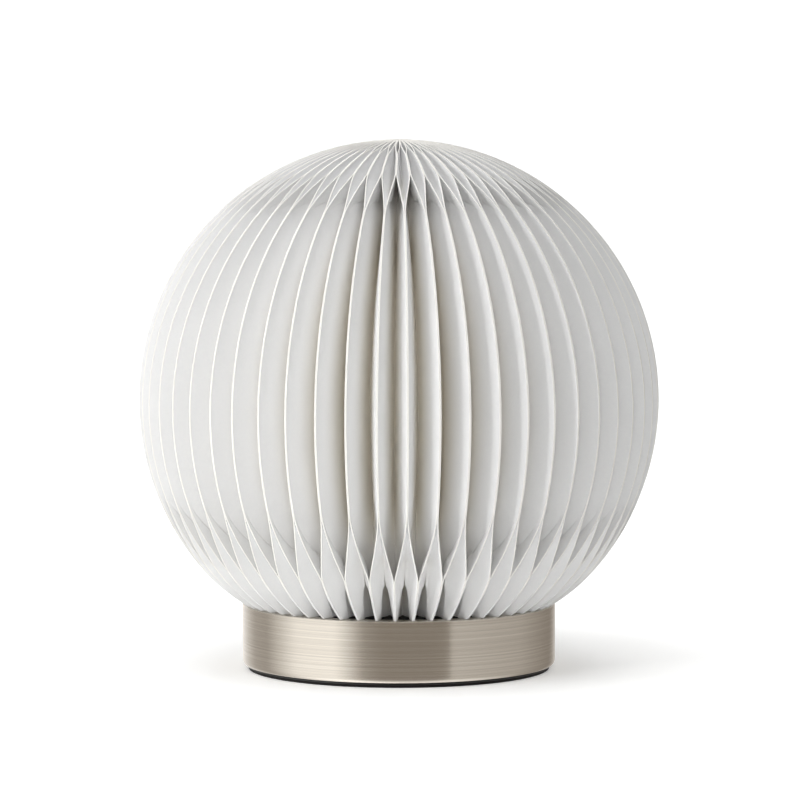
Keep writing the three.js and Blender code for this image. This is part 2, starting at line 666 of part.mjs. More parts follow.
// The faces of one leaf between two rows, and the strip along the inner edge of its pair.
function leafFaces(lower, upper, leaf) {
  const [low, high] = [lower.leaves[leaf], upper.leaves[leaf]];
  const onLeft = low.side < 0;
  const innerLine = ({ leaves }) => [leaves[leaf].inside[1], leaves[leaf + 1].inside[1]];
  return [
    ...strip(low.own, high.own, !onLeft),
    ...strip(low.outside, high.outside, onLeft),
    ...strip(low.inside, high.inside, onLeft),
    ...(onLeft ? strip(innerLine(lower), innerLine(upper), true) : []),
  ];
}

// The strips along the outer edges between two rows, where leaves that are glued there share one strip.
function outerEdges(lower, upper) {
  const paired = !lower.row.crossed && !upper.row.crossed;
  const crossed = lower.row.crossed && upper.row.crossed;
  const corners = [];
  let first = 0;
  for (let leaf = 0; leaf < leavesInPack; leaf++) {
    const onLeft = leaf % 2 === 0;
    if (leaf < leavesInPack - 1 && (onLeft ? paired : crossed)) continue;
    const line = ({ row, leaves }) => {
      const [from, to] = [leaves[first], leaves[leaf]];
      const start = from.side < 0 ? from.outside[0] : from.own[0];
      const middle = from.side < 0 ? from.own[0] : from.outside[0];
      const finish = to.side < 0 ? to.own[0] : to.outside[0];
      return first < leaf && row.parting ? [start, middle, finish] : [start, finish];
    };
    corners.push(...strip(line(lower), line(upper)));
    first = leaf + 1;
  }
  return corners;
}

// The end of a pack, in a crossed row: the section of each leaf and of the glued corners between them.
function endCap({ leaves }, flipped) {
  return leaves.flatMap((leaf, index) => {
    const next = leaf.glued ? leaf.inside : [leaf.outside[0], ...leaf.inside];
    const section = strip(leaf.own, next, flipped !== leaf.side > 0);
    const other = leaves[index + 1];
    const corner = leaf.side < 0
      ? strip([leaf.own[2]], [leaf.inside[1], other.inside[1]], flipped)
      : other ? strip([leaf.own[0], other.own[0]], [leaf.inside[0]], flipped) : [];
    return [...section, ...corner];
  });
}

// A pack of leaves as one skin, with its first and last leaf free.
function leafPack(index) {
  const rows = leafRows().map((row) => {
    const leaves = Array.from({ length: leavesInPack }, (_, leaf) => {
      const pair = Math.floor((index * leavesInPack + leaf) / 2);
      const seamAngle = THREE.MathUtils.degToRad(FRONT_SEAM_ANGLE) + pair * pitch;
      const clear = leaf === 0 || leaf === leavesInPack - 1 ? FIT_GAP / 2 : 0;
      return leafSection(row, seamAngle, leaf % 2 === 0 ? -1 : 1, clear);
    });
    return { row, leaves };
  });
  const corners = [...endCap(rows[0], true), ...endCap(rows[rows.length - 1], false)];
  for (let step = 0; step < rows.length - 1; step++) {
    const [lower, upper] = [rows[step], rows[step + 1]];
    corners.push(...outerEdges(lower, upper));
    for (let leaf = 0; leaf < leavesInPack; leaf++) corners.push(...leafFaces(lower, upper, leaf));
  }
  const geometry = new THREE.BufferGeometry().setFromPoints(corners);
  geometry.computeVertexNormals();
  return geometry;
}

// The height above the globe's centre at which the hub washer lies, with its rim under the leaves' inner edges.
function washerHeight() {
  const low = onSphere(innerRadius, POLE_ROW);
  const high = besideHub(innerRadius);
  const slope = (high.z - low.z) / (high.radius - low.radius);
  const edgeZ = low.z + slope * (HUB_WASHER_RADIUS - low.radius);
  return edgeZ - SEAT_GAP - HUB_WASHER_THICKNESS;
}

function buildShade() {
  const shade = new THREE.Group();
  for (let index = 0; index < PACKS; index++) {
    const name = `leaf_pack_${String(index + 1).padStart(2, "0")}`;
    place(shade, name, leafPack(index), paper, [0, 0, globeZ]);
  }
  const carrier = ring(recessRadius - FIT_GAP, ringHoleRadius, RING_THICKNESS, DRUM_SIDES);
  place(shade, "shade_ring", carrier, card, [0, 0, drumTopZ - RING_THICKNESS]);
  const washer = ring(HUB_WASHER_RADIUS, HUB_RADIUS + THREAD_GAP, HUB_WASHER_THICKNESS);
  const washerZ = globeZ + washerHeight();
  const spindle = ring(HUB_RADIUS, HUB_BORE_RADIUS, globeZ + GLOBE_RADIUS - washerZ, SMALL_SIDES);
  place(shade, "hub_washer", washer, card, [0, 0, washerZ]);
  place(shade, "top_hub", spindle, card, [0, 0, washerZ]);
  return shade;
}

lamp.add(buildBase(), buildLampholder(), buildTerminals(), buildBulb(), buildShade());

export default lamp;
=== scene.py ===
"""The looks of a pleated paper globe table lamp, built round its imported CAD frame.

Sizes in the classes are in millimetres and degrees, as in the part's own source. Meshes are made in metres.
The third number of a corner in an outline is the rounding of that corner.
"""

import logging
import math
from collections.abc import Callable, Iterable, Sequence
from dataclasses import dataclass, field
from enum import Enum, IntEnum

import bmesh
import bpy
from mathutils import Matrix, Vector

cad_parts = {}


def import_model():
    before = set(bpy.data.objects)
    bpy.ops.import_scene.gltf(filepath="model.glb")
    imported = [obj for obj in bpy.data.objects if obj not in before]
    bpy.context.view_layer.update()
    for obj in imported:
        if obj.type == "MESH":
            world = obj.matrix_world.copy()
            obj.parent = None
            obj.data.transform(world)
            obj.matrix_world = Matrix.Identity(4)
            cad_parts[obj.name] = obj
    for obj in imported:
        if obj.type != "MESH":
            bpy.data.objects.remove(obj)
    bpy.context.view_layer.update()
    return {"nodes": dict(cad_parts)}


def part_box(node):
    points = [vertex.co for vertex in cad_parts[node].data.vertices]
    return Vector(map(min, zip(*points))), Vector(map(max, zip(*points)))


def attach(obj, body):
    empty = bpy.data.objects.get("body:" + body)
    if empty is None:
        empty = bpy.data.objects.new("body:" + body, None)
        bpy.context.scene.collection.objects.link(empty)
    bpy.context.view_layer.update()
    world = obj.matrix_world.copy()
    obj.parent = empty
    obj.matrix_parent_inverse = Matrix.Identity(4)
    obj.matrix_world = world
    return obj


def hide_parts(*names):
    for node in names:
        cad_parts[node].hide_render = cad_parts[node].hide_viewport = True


log = logging.getLogger("paper_lamp")

MM = 0.001
SHARP_ANGLE = math.radians(35)
# Points closer together than this are one
TOUCHING = 0.001 * MM
WHITE = (1.0, 1.0, 1.0, 1.0)

Outline = Sequence[tuple[float, ...]]
Warp = Callable[[float, float, float], tuple[float, float]]


class Sides(IntEnum):
    """Steps round a turned piece, enough for its size and its detail."""

    ROD = 32
    SMALL = 48
    WASHER = 64
    NUT = 96
    CUP = 128
    RING = 144
    PLATE = 192
    DRUM = 256
    RIBBED = 360


# Shared helpers


def add_node(tree: bpy.types.NodeTree, kind: str, links: dict | None = None, **settings) -> bpy.types.Node:
    """Adds a node with its settings, input values and links.

    Args:
        tree: The shader or geometry tree.
        kind: The node's type name.
        links: Input name or index, and the value or the output socket that goes in.
        settings: Properties of the node itself.

    Returns:
        The new node.
    """
    node = tree.nodes.new(kind)
    for name, value in settings.items():
        setattr(node, name, value)
    for key, value in (links or {}).items():
        if isinstance(value, bpy.types.NodeSocket):
            tree.links.new(value, node.inputs[key])
        else:
            node.inputs[key].default_value = value
    return node


def add_values(tree: bpy.types.NodeTree, known: dict[str, object], rows: Iterable[tuple]) -> None:
    """Adds the nodes that work out a list of values, and keeps their outputs by name.

    Args:
        tree: The shader or geometry tree.
        known: Values by name, which grows with each row.
        rows: A value's name, the operation that makes it, and the names or numbers that go in.
    """
    for name, operation, *terms in rows:
        links = {index: known.get(term, term) for index, term in enumerate(terms)}
        if operation == "RANGE":
            node = add_node(tree, "ShaderNodeMapRange", links)
        else:
            node = add_node(tree, "ShaderNodeMath", links, operation=operation)
        known[name] = node.outputs[0]


def linear(colour: str) -> tuple[float, float, float, float]:
    """Turns an sRGB hex colour into Blender's linear RGBA.

    Args:
        colour: Six hex digits after a hash sign.

    Returns:
        Linear red, green and blue, and an alpha of one.
    """
    parts = [int(colour[i : i + 2], 16) / 255 for i in (1, 3, 5)]
    red, green, blue = (c / 12.92 if c <= 0.04045 else ((c + 0.055) / 1.055) ** 2.4 for c in parts)
    return red, green, blue, 1.0


def new_object(name: str, mesh: bpy.types.Mesh) -> bpy.types.Object:
    """Links a mesh into the scene as an object at the origin.

    Args:
        name: The piece's name.
        mesh: Its mesh, with its place in its vertices.

    Returns:
        The new object.
    """
    piece = bpy.data.objects.new(name, mesh)
    bpy.context.scene.collection.objects.link(piece)
    return piece


def smoothed(mesh: bpy.types.Mesh) -> bpy.types.Mesh:
    """Shades a mesh smooth but for its sharp edges.

    Args:
        mesh: The mesh to shade.

    Returns:
        The same mesh.
    """
    mesh.polygons.foreach_set("use_smooth", [True] * len(mesh.polygons))
    mesh.set_sharp_from_angle(angle=SHARP_ANGLE)
    mesh.update()
    return mesh


def rounded(outline: Outline, steps: int = 4) -> list[tuple[float, float]]:
    """Rounds the corners of a closed outline.

    Args:
        outline: Points of radius and height, with a third number where a corner is rounded by that much.
        steps: Straight steps in each rounded corner.

    Returns:
        The outline's points of radius and height.
    """
    points = []
    for index, (radius, height, *bevel) in enumerate(outline):
        if not bevel:
            points.append((radius, height))
            continue
        corner = Vector((radius, height))
        before, after = (Vector(outline[(index + step) % len(outline)][:2]) - corner for step in (-1, 1))
        start, end = (corner + side.normalized() * min(bevel[0], side.length / 2) for side in (before, after))
        for step in range(steps + 1):
            share = step / steps
            point = start.lerp(corner, share).lerp(corner.lerp(end, share), share)
            points.append((point.x, point.y))
    return points


def turned(
    name: str, outline: Outline, sides: Sides, warp: Warp | None = None, place: Matrix | None = None
) -> bpy.types.Object:
    """Turns a closed outline about the Z axis.

    Args:
        name: The piece's name.
        outline: Points of radius and height in millimetres, as `rounded` takes them.
        sides: Steps round the axis.
        warp: Changes radius and height by the angle round the axis, for a thread or a hexagon.
        place: Moves the finished mesh to where it belongs, in metres.

    Returns:
        The new object.
    """
    points = rounded(outline)
    shape = bmesh.new()
    rings = []
    for side in range(sides):
        angle = math.tau * side / sides
        cos, sin = math.cos(angle), math.sin(angle)
        placed = [warp(angle, *point) if warp else point for point in points]
        rings.append([shape.verts.new((r * MM * cos, r * MM * sin, z * MM)) for r, z in placed])
    for side, ring in enumerate(rings):
        other = rings[(side + 1) % sides]
        for index in range(len(ring)):
            nearby = (index + 1) % len(ring)
            shape.faces.new((ring[index], other[index], other[nearby], ring[nearby]))
    bmesh.ops.remove_doubles(shape, verts=shape.verts, dist=TOUCHING)
    bmesh.ops.dissolve_degenerate(shape, edges=shape.edges, dist=TOUCHING)
    bmesh.ops.recalc_face_normals(shape, faces=shape.faces)
    if place:
        bmesh.ops.transform(shape, matrix=place, verts=shape.verts)
    mesh = bpy.data.meshes.new(name)
    shape.to_mesh(mesh)
    shape.free()
    return new_object(name, smoothed(mesh))


def lifted(outline: Outline, height: float) -> list[tuple[float, ...]]:
    """Moves an outline up.

    Args:
        outline: Points of radius and height, as `rounded` takes them.
        height: How far up, in millimetres.

    Returns:
        The moved outline.
    """
    return [(radius, up + height, *bevel) for radius, up, *bevel in outline]


def ring_outline(outer: float, inner: float, height: float, bevel: float) -> list[tuple[float, ...]]:
    """The outline of a flat ring that stands on height zero.

    Args:
        outer: Outer radius.
        inner: Inner radius.
        height: Thickness.
        bevel: Rounding of its corners.

    Returns:
        The closed outline.
    """
    return [(inner, 0, bevel), (outer, 0, bevel), (outer, height, bevel), (inner, height, bevel)]


def hexagon(across_flats: float) -> Warp:
    """Presses what lies outside a hexagon in to its flats, and leaves what lies inside round.

    Args:
        across_flats: Width of the nut.

    Returns:
        A warp for `turned`.
    """

    def warp(angle: float, radius: float, height: float) -> tuple[float, float]:
        """Presses one point in to its flat."""
        flat = (angle + math.pi / 6) % (math.pi / 3) - math.pi / 6
        return min(radius, across_flats / 2 / math.cos(flat)), height

    return warp


def helix(pitch: float, depth: float, low: float, high: float, inner: float, fade: float) -> Warp:
    """Rolls a thread into the wall of a turned piece.

    Args:
        pitch: Rise of the thread in one turn.
        depth: From the thread's crest to its root.
        low: Height at which the thread starts.
        high: Height at which it ends.
        inner: Radius under which nothing is changed.
        fade: Length over which the thread runs out at each end.

    Returns:
        A warp for `turned`.
    """

    def warp(angle: float, radius: float, height: float) -> tuple[float, float]:
        """Presses one point in to the thread."""
        strength = min(max(min(height - low, high - height) / fade, 0.0), 1.0)
        if radius < inner or strength == 0.0:
            return radius, height
        wave = 0.5 - 0.5 * math.cos(math.tau * height / pitch - angle)
        return radius - depth * strength * wave, height

    return warp


def wall(radius: float, low: float, high: float, step: float) -> list[tuple[float, float]]:
    """Points up or down a straight wall, close enough together for a thread.

    Args:
        radius: The wall's radius.
        low: Height of the first point.
        high: Height of the last point.
        step: Greatest distance between two points.

    Returns:
        The points, with both ends.
    """
    count = max(1, math.ceil(abs(high - low) / step))
    return [(radius, low + (high - low) * index / count) for index in range(count + 1)]


def new_tree(
    name: str, values: dict[str, object], made: str
) -> tuple[bpy.types.NodeTree, dict[str, bpy.types.NodeSocket]]:
    """Starts a Geometry Nodes tree with a named input for each of its sizes.

    Args:
        name: The tree's name.
        values: The values that its inputs will get, by name.
        made: Name of its output.

    Returns:
        The tree, and the sockets of its inputs by name.
    """
    kinds = {int: "NodeSocketInt", float: "NodeSocketFloat", bpy.types.Material: "NodeSocketMaterial"}
    tree = bpy.data.node_groups.new(name, "GeometryNodeTree")
    for key, value in values.items():
        tree.interface.new_socket(key, in_out="INPUT", socket_type=kinds[type(value)])
    tree.interface.new_socket(made, in_out="OUTPUT", socket_type="NodeSocketGeometry")
    given = add_node(tree, "NodeGroupInput").outputs
    return tree, {key: given[key] for key in values}


def evaluated(name: str, tree: bpy.types.NodeTree, values: dict[str, object]) -> bpy.types.Object:
    """Runs a Geometry Nodes tree and keeps its result as a plain mesh.

    Args:
        name: The piece's name.
        tree: The tree to run.
        values: The tree's inputs by name.

    Returns:
        The new object, with no modifier left on it.
    """
    piece = new_object(name, bpy.data.meshes.new(name))
    modifier = piece.modifiers.new("shape", "NODES")
    modifier.node_group = tree
    for item in tree.interface.items_tree:
        if item.item_type == "SOCKET" and item.in_out == "INPUT":
            modifier[item.identifier] = values[item.name]
    depsgraph = bpy.context.evaluated_depsgraph_get()
    mesh = bpy.data.meshes.new_from_object(piece.evaluated_get(depsgraph), depsgraph=depsgraph)
    piece.modifiers.clear()
    piece.data = mesh
    mesh.name = name
    return piece


# Finishes


class Brushing(Enum):
    """The way that the fine lines of a brushed metal run."""

    ROUND = "round the axis"
    ALONG = "along the axis"


@dataclass(frozen=True)
class Paper:
    """White uncoated card: matt, with cloudy fibre and a soft tooth, and painted shade that makes it darker
    and warmer deep in the folds.
    """

    name: str = "uncoated white paper card"
    colour: str = "#f4f4f3"
    fibre_colour: str = "#efeff0"
    # Colour of the painted shade deep in the folds
    fold_shade_colour: str = "#e3dfd6"
    edge_colour: str = "#fcfaf5"
    globe_height: float = 130.0
    edge_radius: float = 124.95
    wall_radius: float = 124.6
    # The painted shade starts at the first of these distances from the globe's centre and is full at the
    # second
    shade_start_radius: float = 118.0
    shade_full_radius: float = 95.0
    fibre_size: float = 1.4
    tooth_size: float = 0.35
    tooth_depth: float = 0.03
    tooth_strength: float = 0.12
    roughness: float = 0.9
    gloss: float = 0.25

    def build(self) -> bpy.types.Material:
        """Builds the paper's material."""
        material, tree, shader = new_material(self.name)
        place = add_node(tree, "ShaderNodeTexCoord").outputs["Object"]
        # Clouds of fibre about a millimetre across, which give the sheet its faint mottle against the light
        links = {"Vector": place, "Scale": 1 / (self.fibre_size * MM), "Detail": 3.0}
        fibre = add_node(tree, "ShaderNodeTexNoise", links).outputs["Fac"]
        links = {"Factor": fibre, "A": linear(self.fibre_colour), "B": linear(self.colour)}
        mottle = add_node(tree, "ShaderNodeMix", links, data_type="RGBA").outputs["Result"]
        links = {"Vector": place, "Scale": 1 / (self.tooth_size * MM), "Detail": 2.0}
        tooth = add_node(tree, "ShaderNodeTexNoise", links).outputs["Fac"]
        links = {"Height": tooth, "Strength": self.tooth_strength, "Distance": self.tooth_depth * MM}
        bump = add_node(tree, "ShaderNodeBump", links)
        # Painted shade: the paper turns darker and warmer with depth into the folds, towards the globe's
        # centre
        links = {0: place, 1: (0.0, 0.0, self.globe_height * MM)}
        spread = add_node(tree, "ShaderNodeVectorMath", links, operation="DISTANCE").outputs["Value"]
        links = {"Value": spread, "From Min": self.shade_start_radius * MM, "From Max": self.shade_full_radius * MM}
        depth_shade = add_node(tree, "ShaderNodeMapRange", links, interpolation_type="SMOOTHSTEP").outputs["Result"]
        links = {"Factor": depth_shade, "A": mottle, "B": linear(self.fold_shade_colour)}
        face = add_node(tree, "ShaderNodeMix", links, data_type="RGBA").outputs["Result"]
        # The cut edges show the bare fibre, whiter than the calendered faces
        links = {"Value": spread, "From Min": self.wall_radius * MM, "From Max": self.edge_radius * MM}
        cut = add_node(tree, "ShaderNodeMapRange", links).outputs["Result"]
        links = {"Factor": cut, "A": face, "B": linear(self.edge_colour)}
        edged = add_node(tree, "ShaderNodeMix", links, data_type="RGBA")
        tree.links.new(edged.outputs["Result"], shader.inputs["Base Color"])
        tree.links.new(bump.outputs["Normal"], shader.inputs["Normal"])
        shader.inputs["Roughness"].default_value = self.roughness
        shader.inputs["Specular IOR Level"].default_value = self.gloss
        return material


def new_material(name: str) -> tuple[bpy.types.Material, bpy.types.NodeTree, bpy.types.Node]:
    """Starts a material with a Principled shader.

    Args:
        name: The real material's name.

    Returns:
        The material, its node tree and the shader node.
    """
    material = bpy.data.materials.new(name)
    material.use_nodes = True
    tree = material.node_tree
    tree.nodes.clear()
    shader = add_node(tree, "ShaderNodeBsdfPrincipled")
    add_node(tree, "ShaderNodeOutputMaterial", {"Surface": shader.outputs["BSDF"]})
    return material, tree, shader


@dataclass(frozen=True)
class BrushedMetal:
    """A metal drawn over with fine abrasive: lights smear across its lines and stay sharp along them.

    The real lines are a few hundredths of a millimetre wide. They are drawn wider, as broad as the render
    shows.
    """

    name: str
    colour: str
    line_colour: str
    roughness: float = 0.26
    line_width: float = 0.7
    line_length: float = 700.0
    line_detail: float = 2.0
    line_break: float = 0.7
    line_low: float = 0.32
    line_high: float = 0.68
    line_depth: float = 0.01
    line_strength: float = 0.1
    radius: float = 75.0
    brushing: Brushing = Brushing.ROUND
    anisotropy: float = 1.0

    def build(self) -> bpy.types.Material:
        """Builds the metal's material."""
        material, tree, shader = new_material(self.name)
        place = add_node(tree, "ShaderNodeTexCoord").outputs["Object"]
        apart = add_node(tree, "ShaderNodeSeparateXYZ", {"Vector": place}).outputs
        spread = add_node(tree, "ShaderNodeVectorMath", {0: place}, operation="LENGTH").outputs["Value"]
        # Unrolls the wall: lengths along the lines are many times those across them
        along, across, turns = self.line_length * MM, self.line_width * MM, self.radius * MM
        runs_round = self.brushing is Brushing.ROUND
        values = {"x": apart["X"], "y": apart["Y"], "z": apart["Z"], "spread": spread}
        rows = (
            ("angle", "ARCTAN2", "y", "x"),
            ("flat", "MULTIPLY", "angle", turns / (along if runs_round else across)),
            ("up", "MULTIPLY", "z", 1 / (across if runs_round else along)),
            ("depth", "MULTIPLY", "spread", 1 / across),
        )
        add_values(tree, values, rows)
        links = {"X": values["flat"], "Y": values["up"], "Z": values["depth"]}
        unrolled = add_node(tree, "ShaderNodeCombineXYZ", links).outputs[0]
        links = {"Vector": unrolled, "Scale": 1.0, "Detail": self.line_detail, "Roughness": self.line_break}
        lines = add_node(tree, "ShaderNodeTexNoise", links).outputs["Fac"]
        links = {"Value": lines, "From Min": self.line_low, "From Max": self.line_high}
        tone = add_node(tree, "ShaderNodeMapRange", links).outputs["Result"]
        links = {"Factor": tone, "A": linear(self.line_colour), "B": linear(self.colour)}
        colour = add_node(tree, "ShaderNodeMix", links, data_type="RGBA")
        links = {"Height": tone, "Strength": self.line_strength, "Distance": self.line_depth * MM}
        bump = add_node(tree, "ShaderNodeBump", links)
        tangent = add_node(tree, "ShaderNodeTangent", direction_type="RADIAL", axis="Z")
        tree.links.new(colour.outputs["Result"], shader.inputs["Base Color"])
        tree.links.new(bump.outputs["Normal"], shader.inputs["Normal"])
        tree.links.new(tangent.outputs["Tangent"], shader.inputs["Tangent"])
        shader.inputs["Metallic"].default_value = 1.0
        shader.inputs["Roughness"].default_value = self.roughness
        shader.inputs["Anisotropic"].default_value = self.anisotropy
        # Lines that run round smear the lights a quarter turn from the tangent
        shader.inputs["Anisotropic Rotation"].default_value = 0.25 if runs_round else 0.0
        return material


@dataclass(frozen=True)
class Moulded:
    """A moulded, cast or pressed surface: one colour with a fine grain that breaks up its gloss."""

    name: str
    colour: str
    shade_colour: str
    roughness: float = 0.5
    grain_size: float = 0.6
    grain_depth: float = 0.02
    metallic: float = 0.0
    subsurface: float = 0.0
    grain_strength: float = 0.3
    grains_in_cloud: float = 12.0
    roughness_spread: float = 0.08
    light_creep: float = 2.0

    def build(self) -> bpy.types.Material:
        """Builds the moulded material."""
        material, tree, shader = new_material(self.name)
        place = add_node(tree, "ShaderNodeTexCoord").outputs["Object"]
        links = {"Vector": place, "Scale": 1 / (self.grain_size * MM), "Detail": 3.0}
        grain = add_node(tree, "ShaderNodeTexNoise", links).outputs["Fac"]
        links = {"Vector": place, "Scale": 1 / (self.grains_in_cloud * self.grain_size * MM), "Detail": 2.0}
        wear = add_node(tree, "ShaderNodeTexNoise", links).outputs["Fac"]
        links = {"Factor": wear, "A": linear(self.shade_colour), "B": linear(self.colour)}
        colour = add_node(tree, "ShaderNodeMix", links, data_type="RGBA")
        low, high = self.roughness - self.roughness_spread, self.roughness + self.roughness_spread
        gloss = add_node(tree, "ShaderNodeMapRange", {"Value": grain, "To Min": low, "To Max": high})
        links = {"Height": grain, "Strength": self.grain_strength, "Distance": self.grain_depth * MM}
        bump = add_node(tree, "ShaderNodeBump", links)
        tree.links.new(colour.outputs["Result"], shader.inputs["Base Color"])
        tree.links.new(gloss.outputs["Result"], shader.inputs["Roughness"])
        tree.links.new(bump.outputs["Normal"], shader.inputs["Normal"])
        shader.inputs["Metallic"].default_value = self.metallic
        shader.inputs["Subsurface Weight"].default_value = self.subsurface
        shader.inputs["Subsurface Scale"].default_value = self.light_creep * MM
        return material


@dataclass(frozen=True)
class Finishes:
    """Every finish of the lamp, built once."""

    paper: Paper = Paper()
    # Paper board, pressed and faced white: matt, with a soft grain
    card: Moulded = Moulded("pressed white board", "#efeeea", "#e6e4dd", 0.85, 1.2, 0.03)
    # Pressed board made near black as painted shade, so that the gaps between the leaves' tips stay dark
    painted_shade_board: Moulded = Moulded("black pressed board", "#1e1d1c", "#171615", 0.85, 1.2, 0.03)
    # Nickel plate brushed round the drum: horizontal hairlines that smear each light up and down
    nickel: BrushedMetal = BrushedMetal("brushed nickel plate", "#dfdacf", "#ccc6bb")
    # Grey iron, sand cast: dull, with the pits of the sand
    iron: Moulded = Moulded("sand cast iron", "#55565a", "#3f4043", 0.75, 1.6, 0.25, 0.7)
    # Zinc plated steel, rolled: pale grey and satin
    steel: Moulded = Moulded("zinc plated steel", "#a3a6aa", "#8f9296", 0.38, 0.9, 0.01, 1.0)
    # Powder coat on sheet steel: black with a faint orange peel
    powder: Moulded = Moulded("black powder coated steel", "#1b1a19", "#151413", 0.42, 0.7, 0.03)
    # Die cut foam rubber: dead matt black
    rubber: Moulded = Moulded("black foam rubber", "#141312", "#0e0d0d", 0.85, 0.5, 0.05)
    # Phenolic and nylon, moulded: black with a soft sheen
    phenolic: Moulded = Moulded("black moulded phenolic", "#1c1b1b", "#151414", 0.4, 0.8, 0.015)
    # Steatite, pressed and fired: white and slightly glazed
    steatite: Moulded = Moulded("pressed steatite ceramic", "#ece9e1", "#dedad0", 0.35, 0.5, 0.02)
    # Brass strip, stamped: warm and satin, a little tarnished
    brass: Moulded = Moulded("stamped brass", "#c9a765", "#a98848", 0.3, 1.1, 0.008, 1.0)
    # Polyamide, moulded: light grey and matt
    polyamide: Moulded = Moulded("grey moulded polyamide", "#c7c8c6", "#bcbdba", 0.6, 0.5, 0.02)
    # PVC, extruded round the wire: smooth and half matt
    brown_pvc: Moulded = Moulded("brown PVC insulation", "#6d4630", "#5f3b28", 0.5, 0.6, 0.01)
    blue_pvc: Moulded = Moulded("blue PVC insulation", "#2f4f8f", "#274580", 0.5, 0.6, 0.01)
    # Nickel plated brass shell of the bulb, rolled: bright, with faint rolling marks
    bulb_cap: Moulded = Moulded("nickel plated bulb cap", "#c9c8c6", "#b7b5b2", 0.24, 1.3, 0.006, 1.0)
    # PBT over an aluminium core, moulded: white and satin
    housing: Moulded = Moulded("white moulded PBT", "#f0efec", "#e8e7e3", 0.42, 0.6, 0.01)
    # Glass fibre board under a sprayed white mask: smooth and satin
    board: Moulded = Moulded("white solder mask board", "#dfe3dd", "#d3d8d0", 0.35, 0.5, 0.008)
    # Polycarbonate with a white filler, blown: opal, smooth, and light creeps into it
    opal: Moulded = Moulded("opal polycarbonate", "#f6f5f0", "#f1f0ea", 0.3, 2.0, 0.004, 0.0, 0.4)


class Wardrobe:
    """Builds each finish once and hands its material out."""

    def __init__(self, finishes: Finishes) -> None:
        """Keeps the finishes, with nothing built yet."""
        self.finishes = finishes
        self.built: dict[str, bpy.types.Material] = {}

    def material(self, name: str) -> bpy.types.Material:
        """Gives a finish's material.

        Args:
            name: The finish's field in Finishes.

        Returns:
            The material, built at its first use.
        """
        if name not in self.built:
            self.built[name] = getattr(self.finishes, name).build()
        return self.built[name]

    def dress(self, piece: bpy.types.Object, name: str) -> bpy.types.Object:
        """Gives a piece one finish all over.

        Args:
            piece: The piece, or a CAD node that stays.
            name: The finish's field in Finishes.

        Returns:
            The same piece.
        """
        piece.data.materials.clear()
        piece.data.materials.append(self.material(name))
        return piece


@dataclass
class SubAssembly:
    """A part of the lamp that rides on one CAD body."""

    wardrobe: Wardrobe
    body: str = field(default="base", kw_only=True)

    def fit(self, piece: bpy.types.Object, finish: str, slot: str, nodes: Iterable[str]) -> bpy.types.Object:
        """Dresses a piece and puts it in the frame in place of its CAD nodes.

        Args:
            piece: The finished piece.
            finish: The finish's field in Finishes.
            slot: Not used.
            nodes: The CAD nodes that it stands for.

        Returns:
            The same piece.
        """
        self.wardrobe.dress(piece, finish)
        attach(piece, self.body)
        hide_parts(*nodes)
        log.info("%s: %d faces for %s", piece.name, len(piece.data.polygons), ", ".join(nodes))
        return piece


# Shade


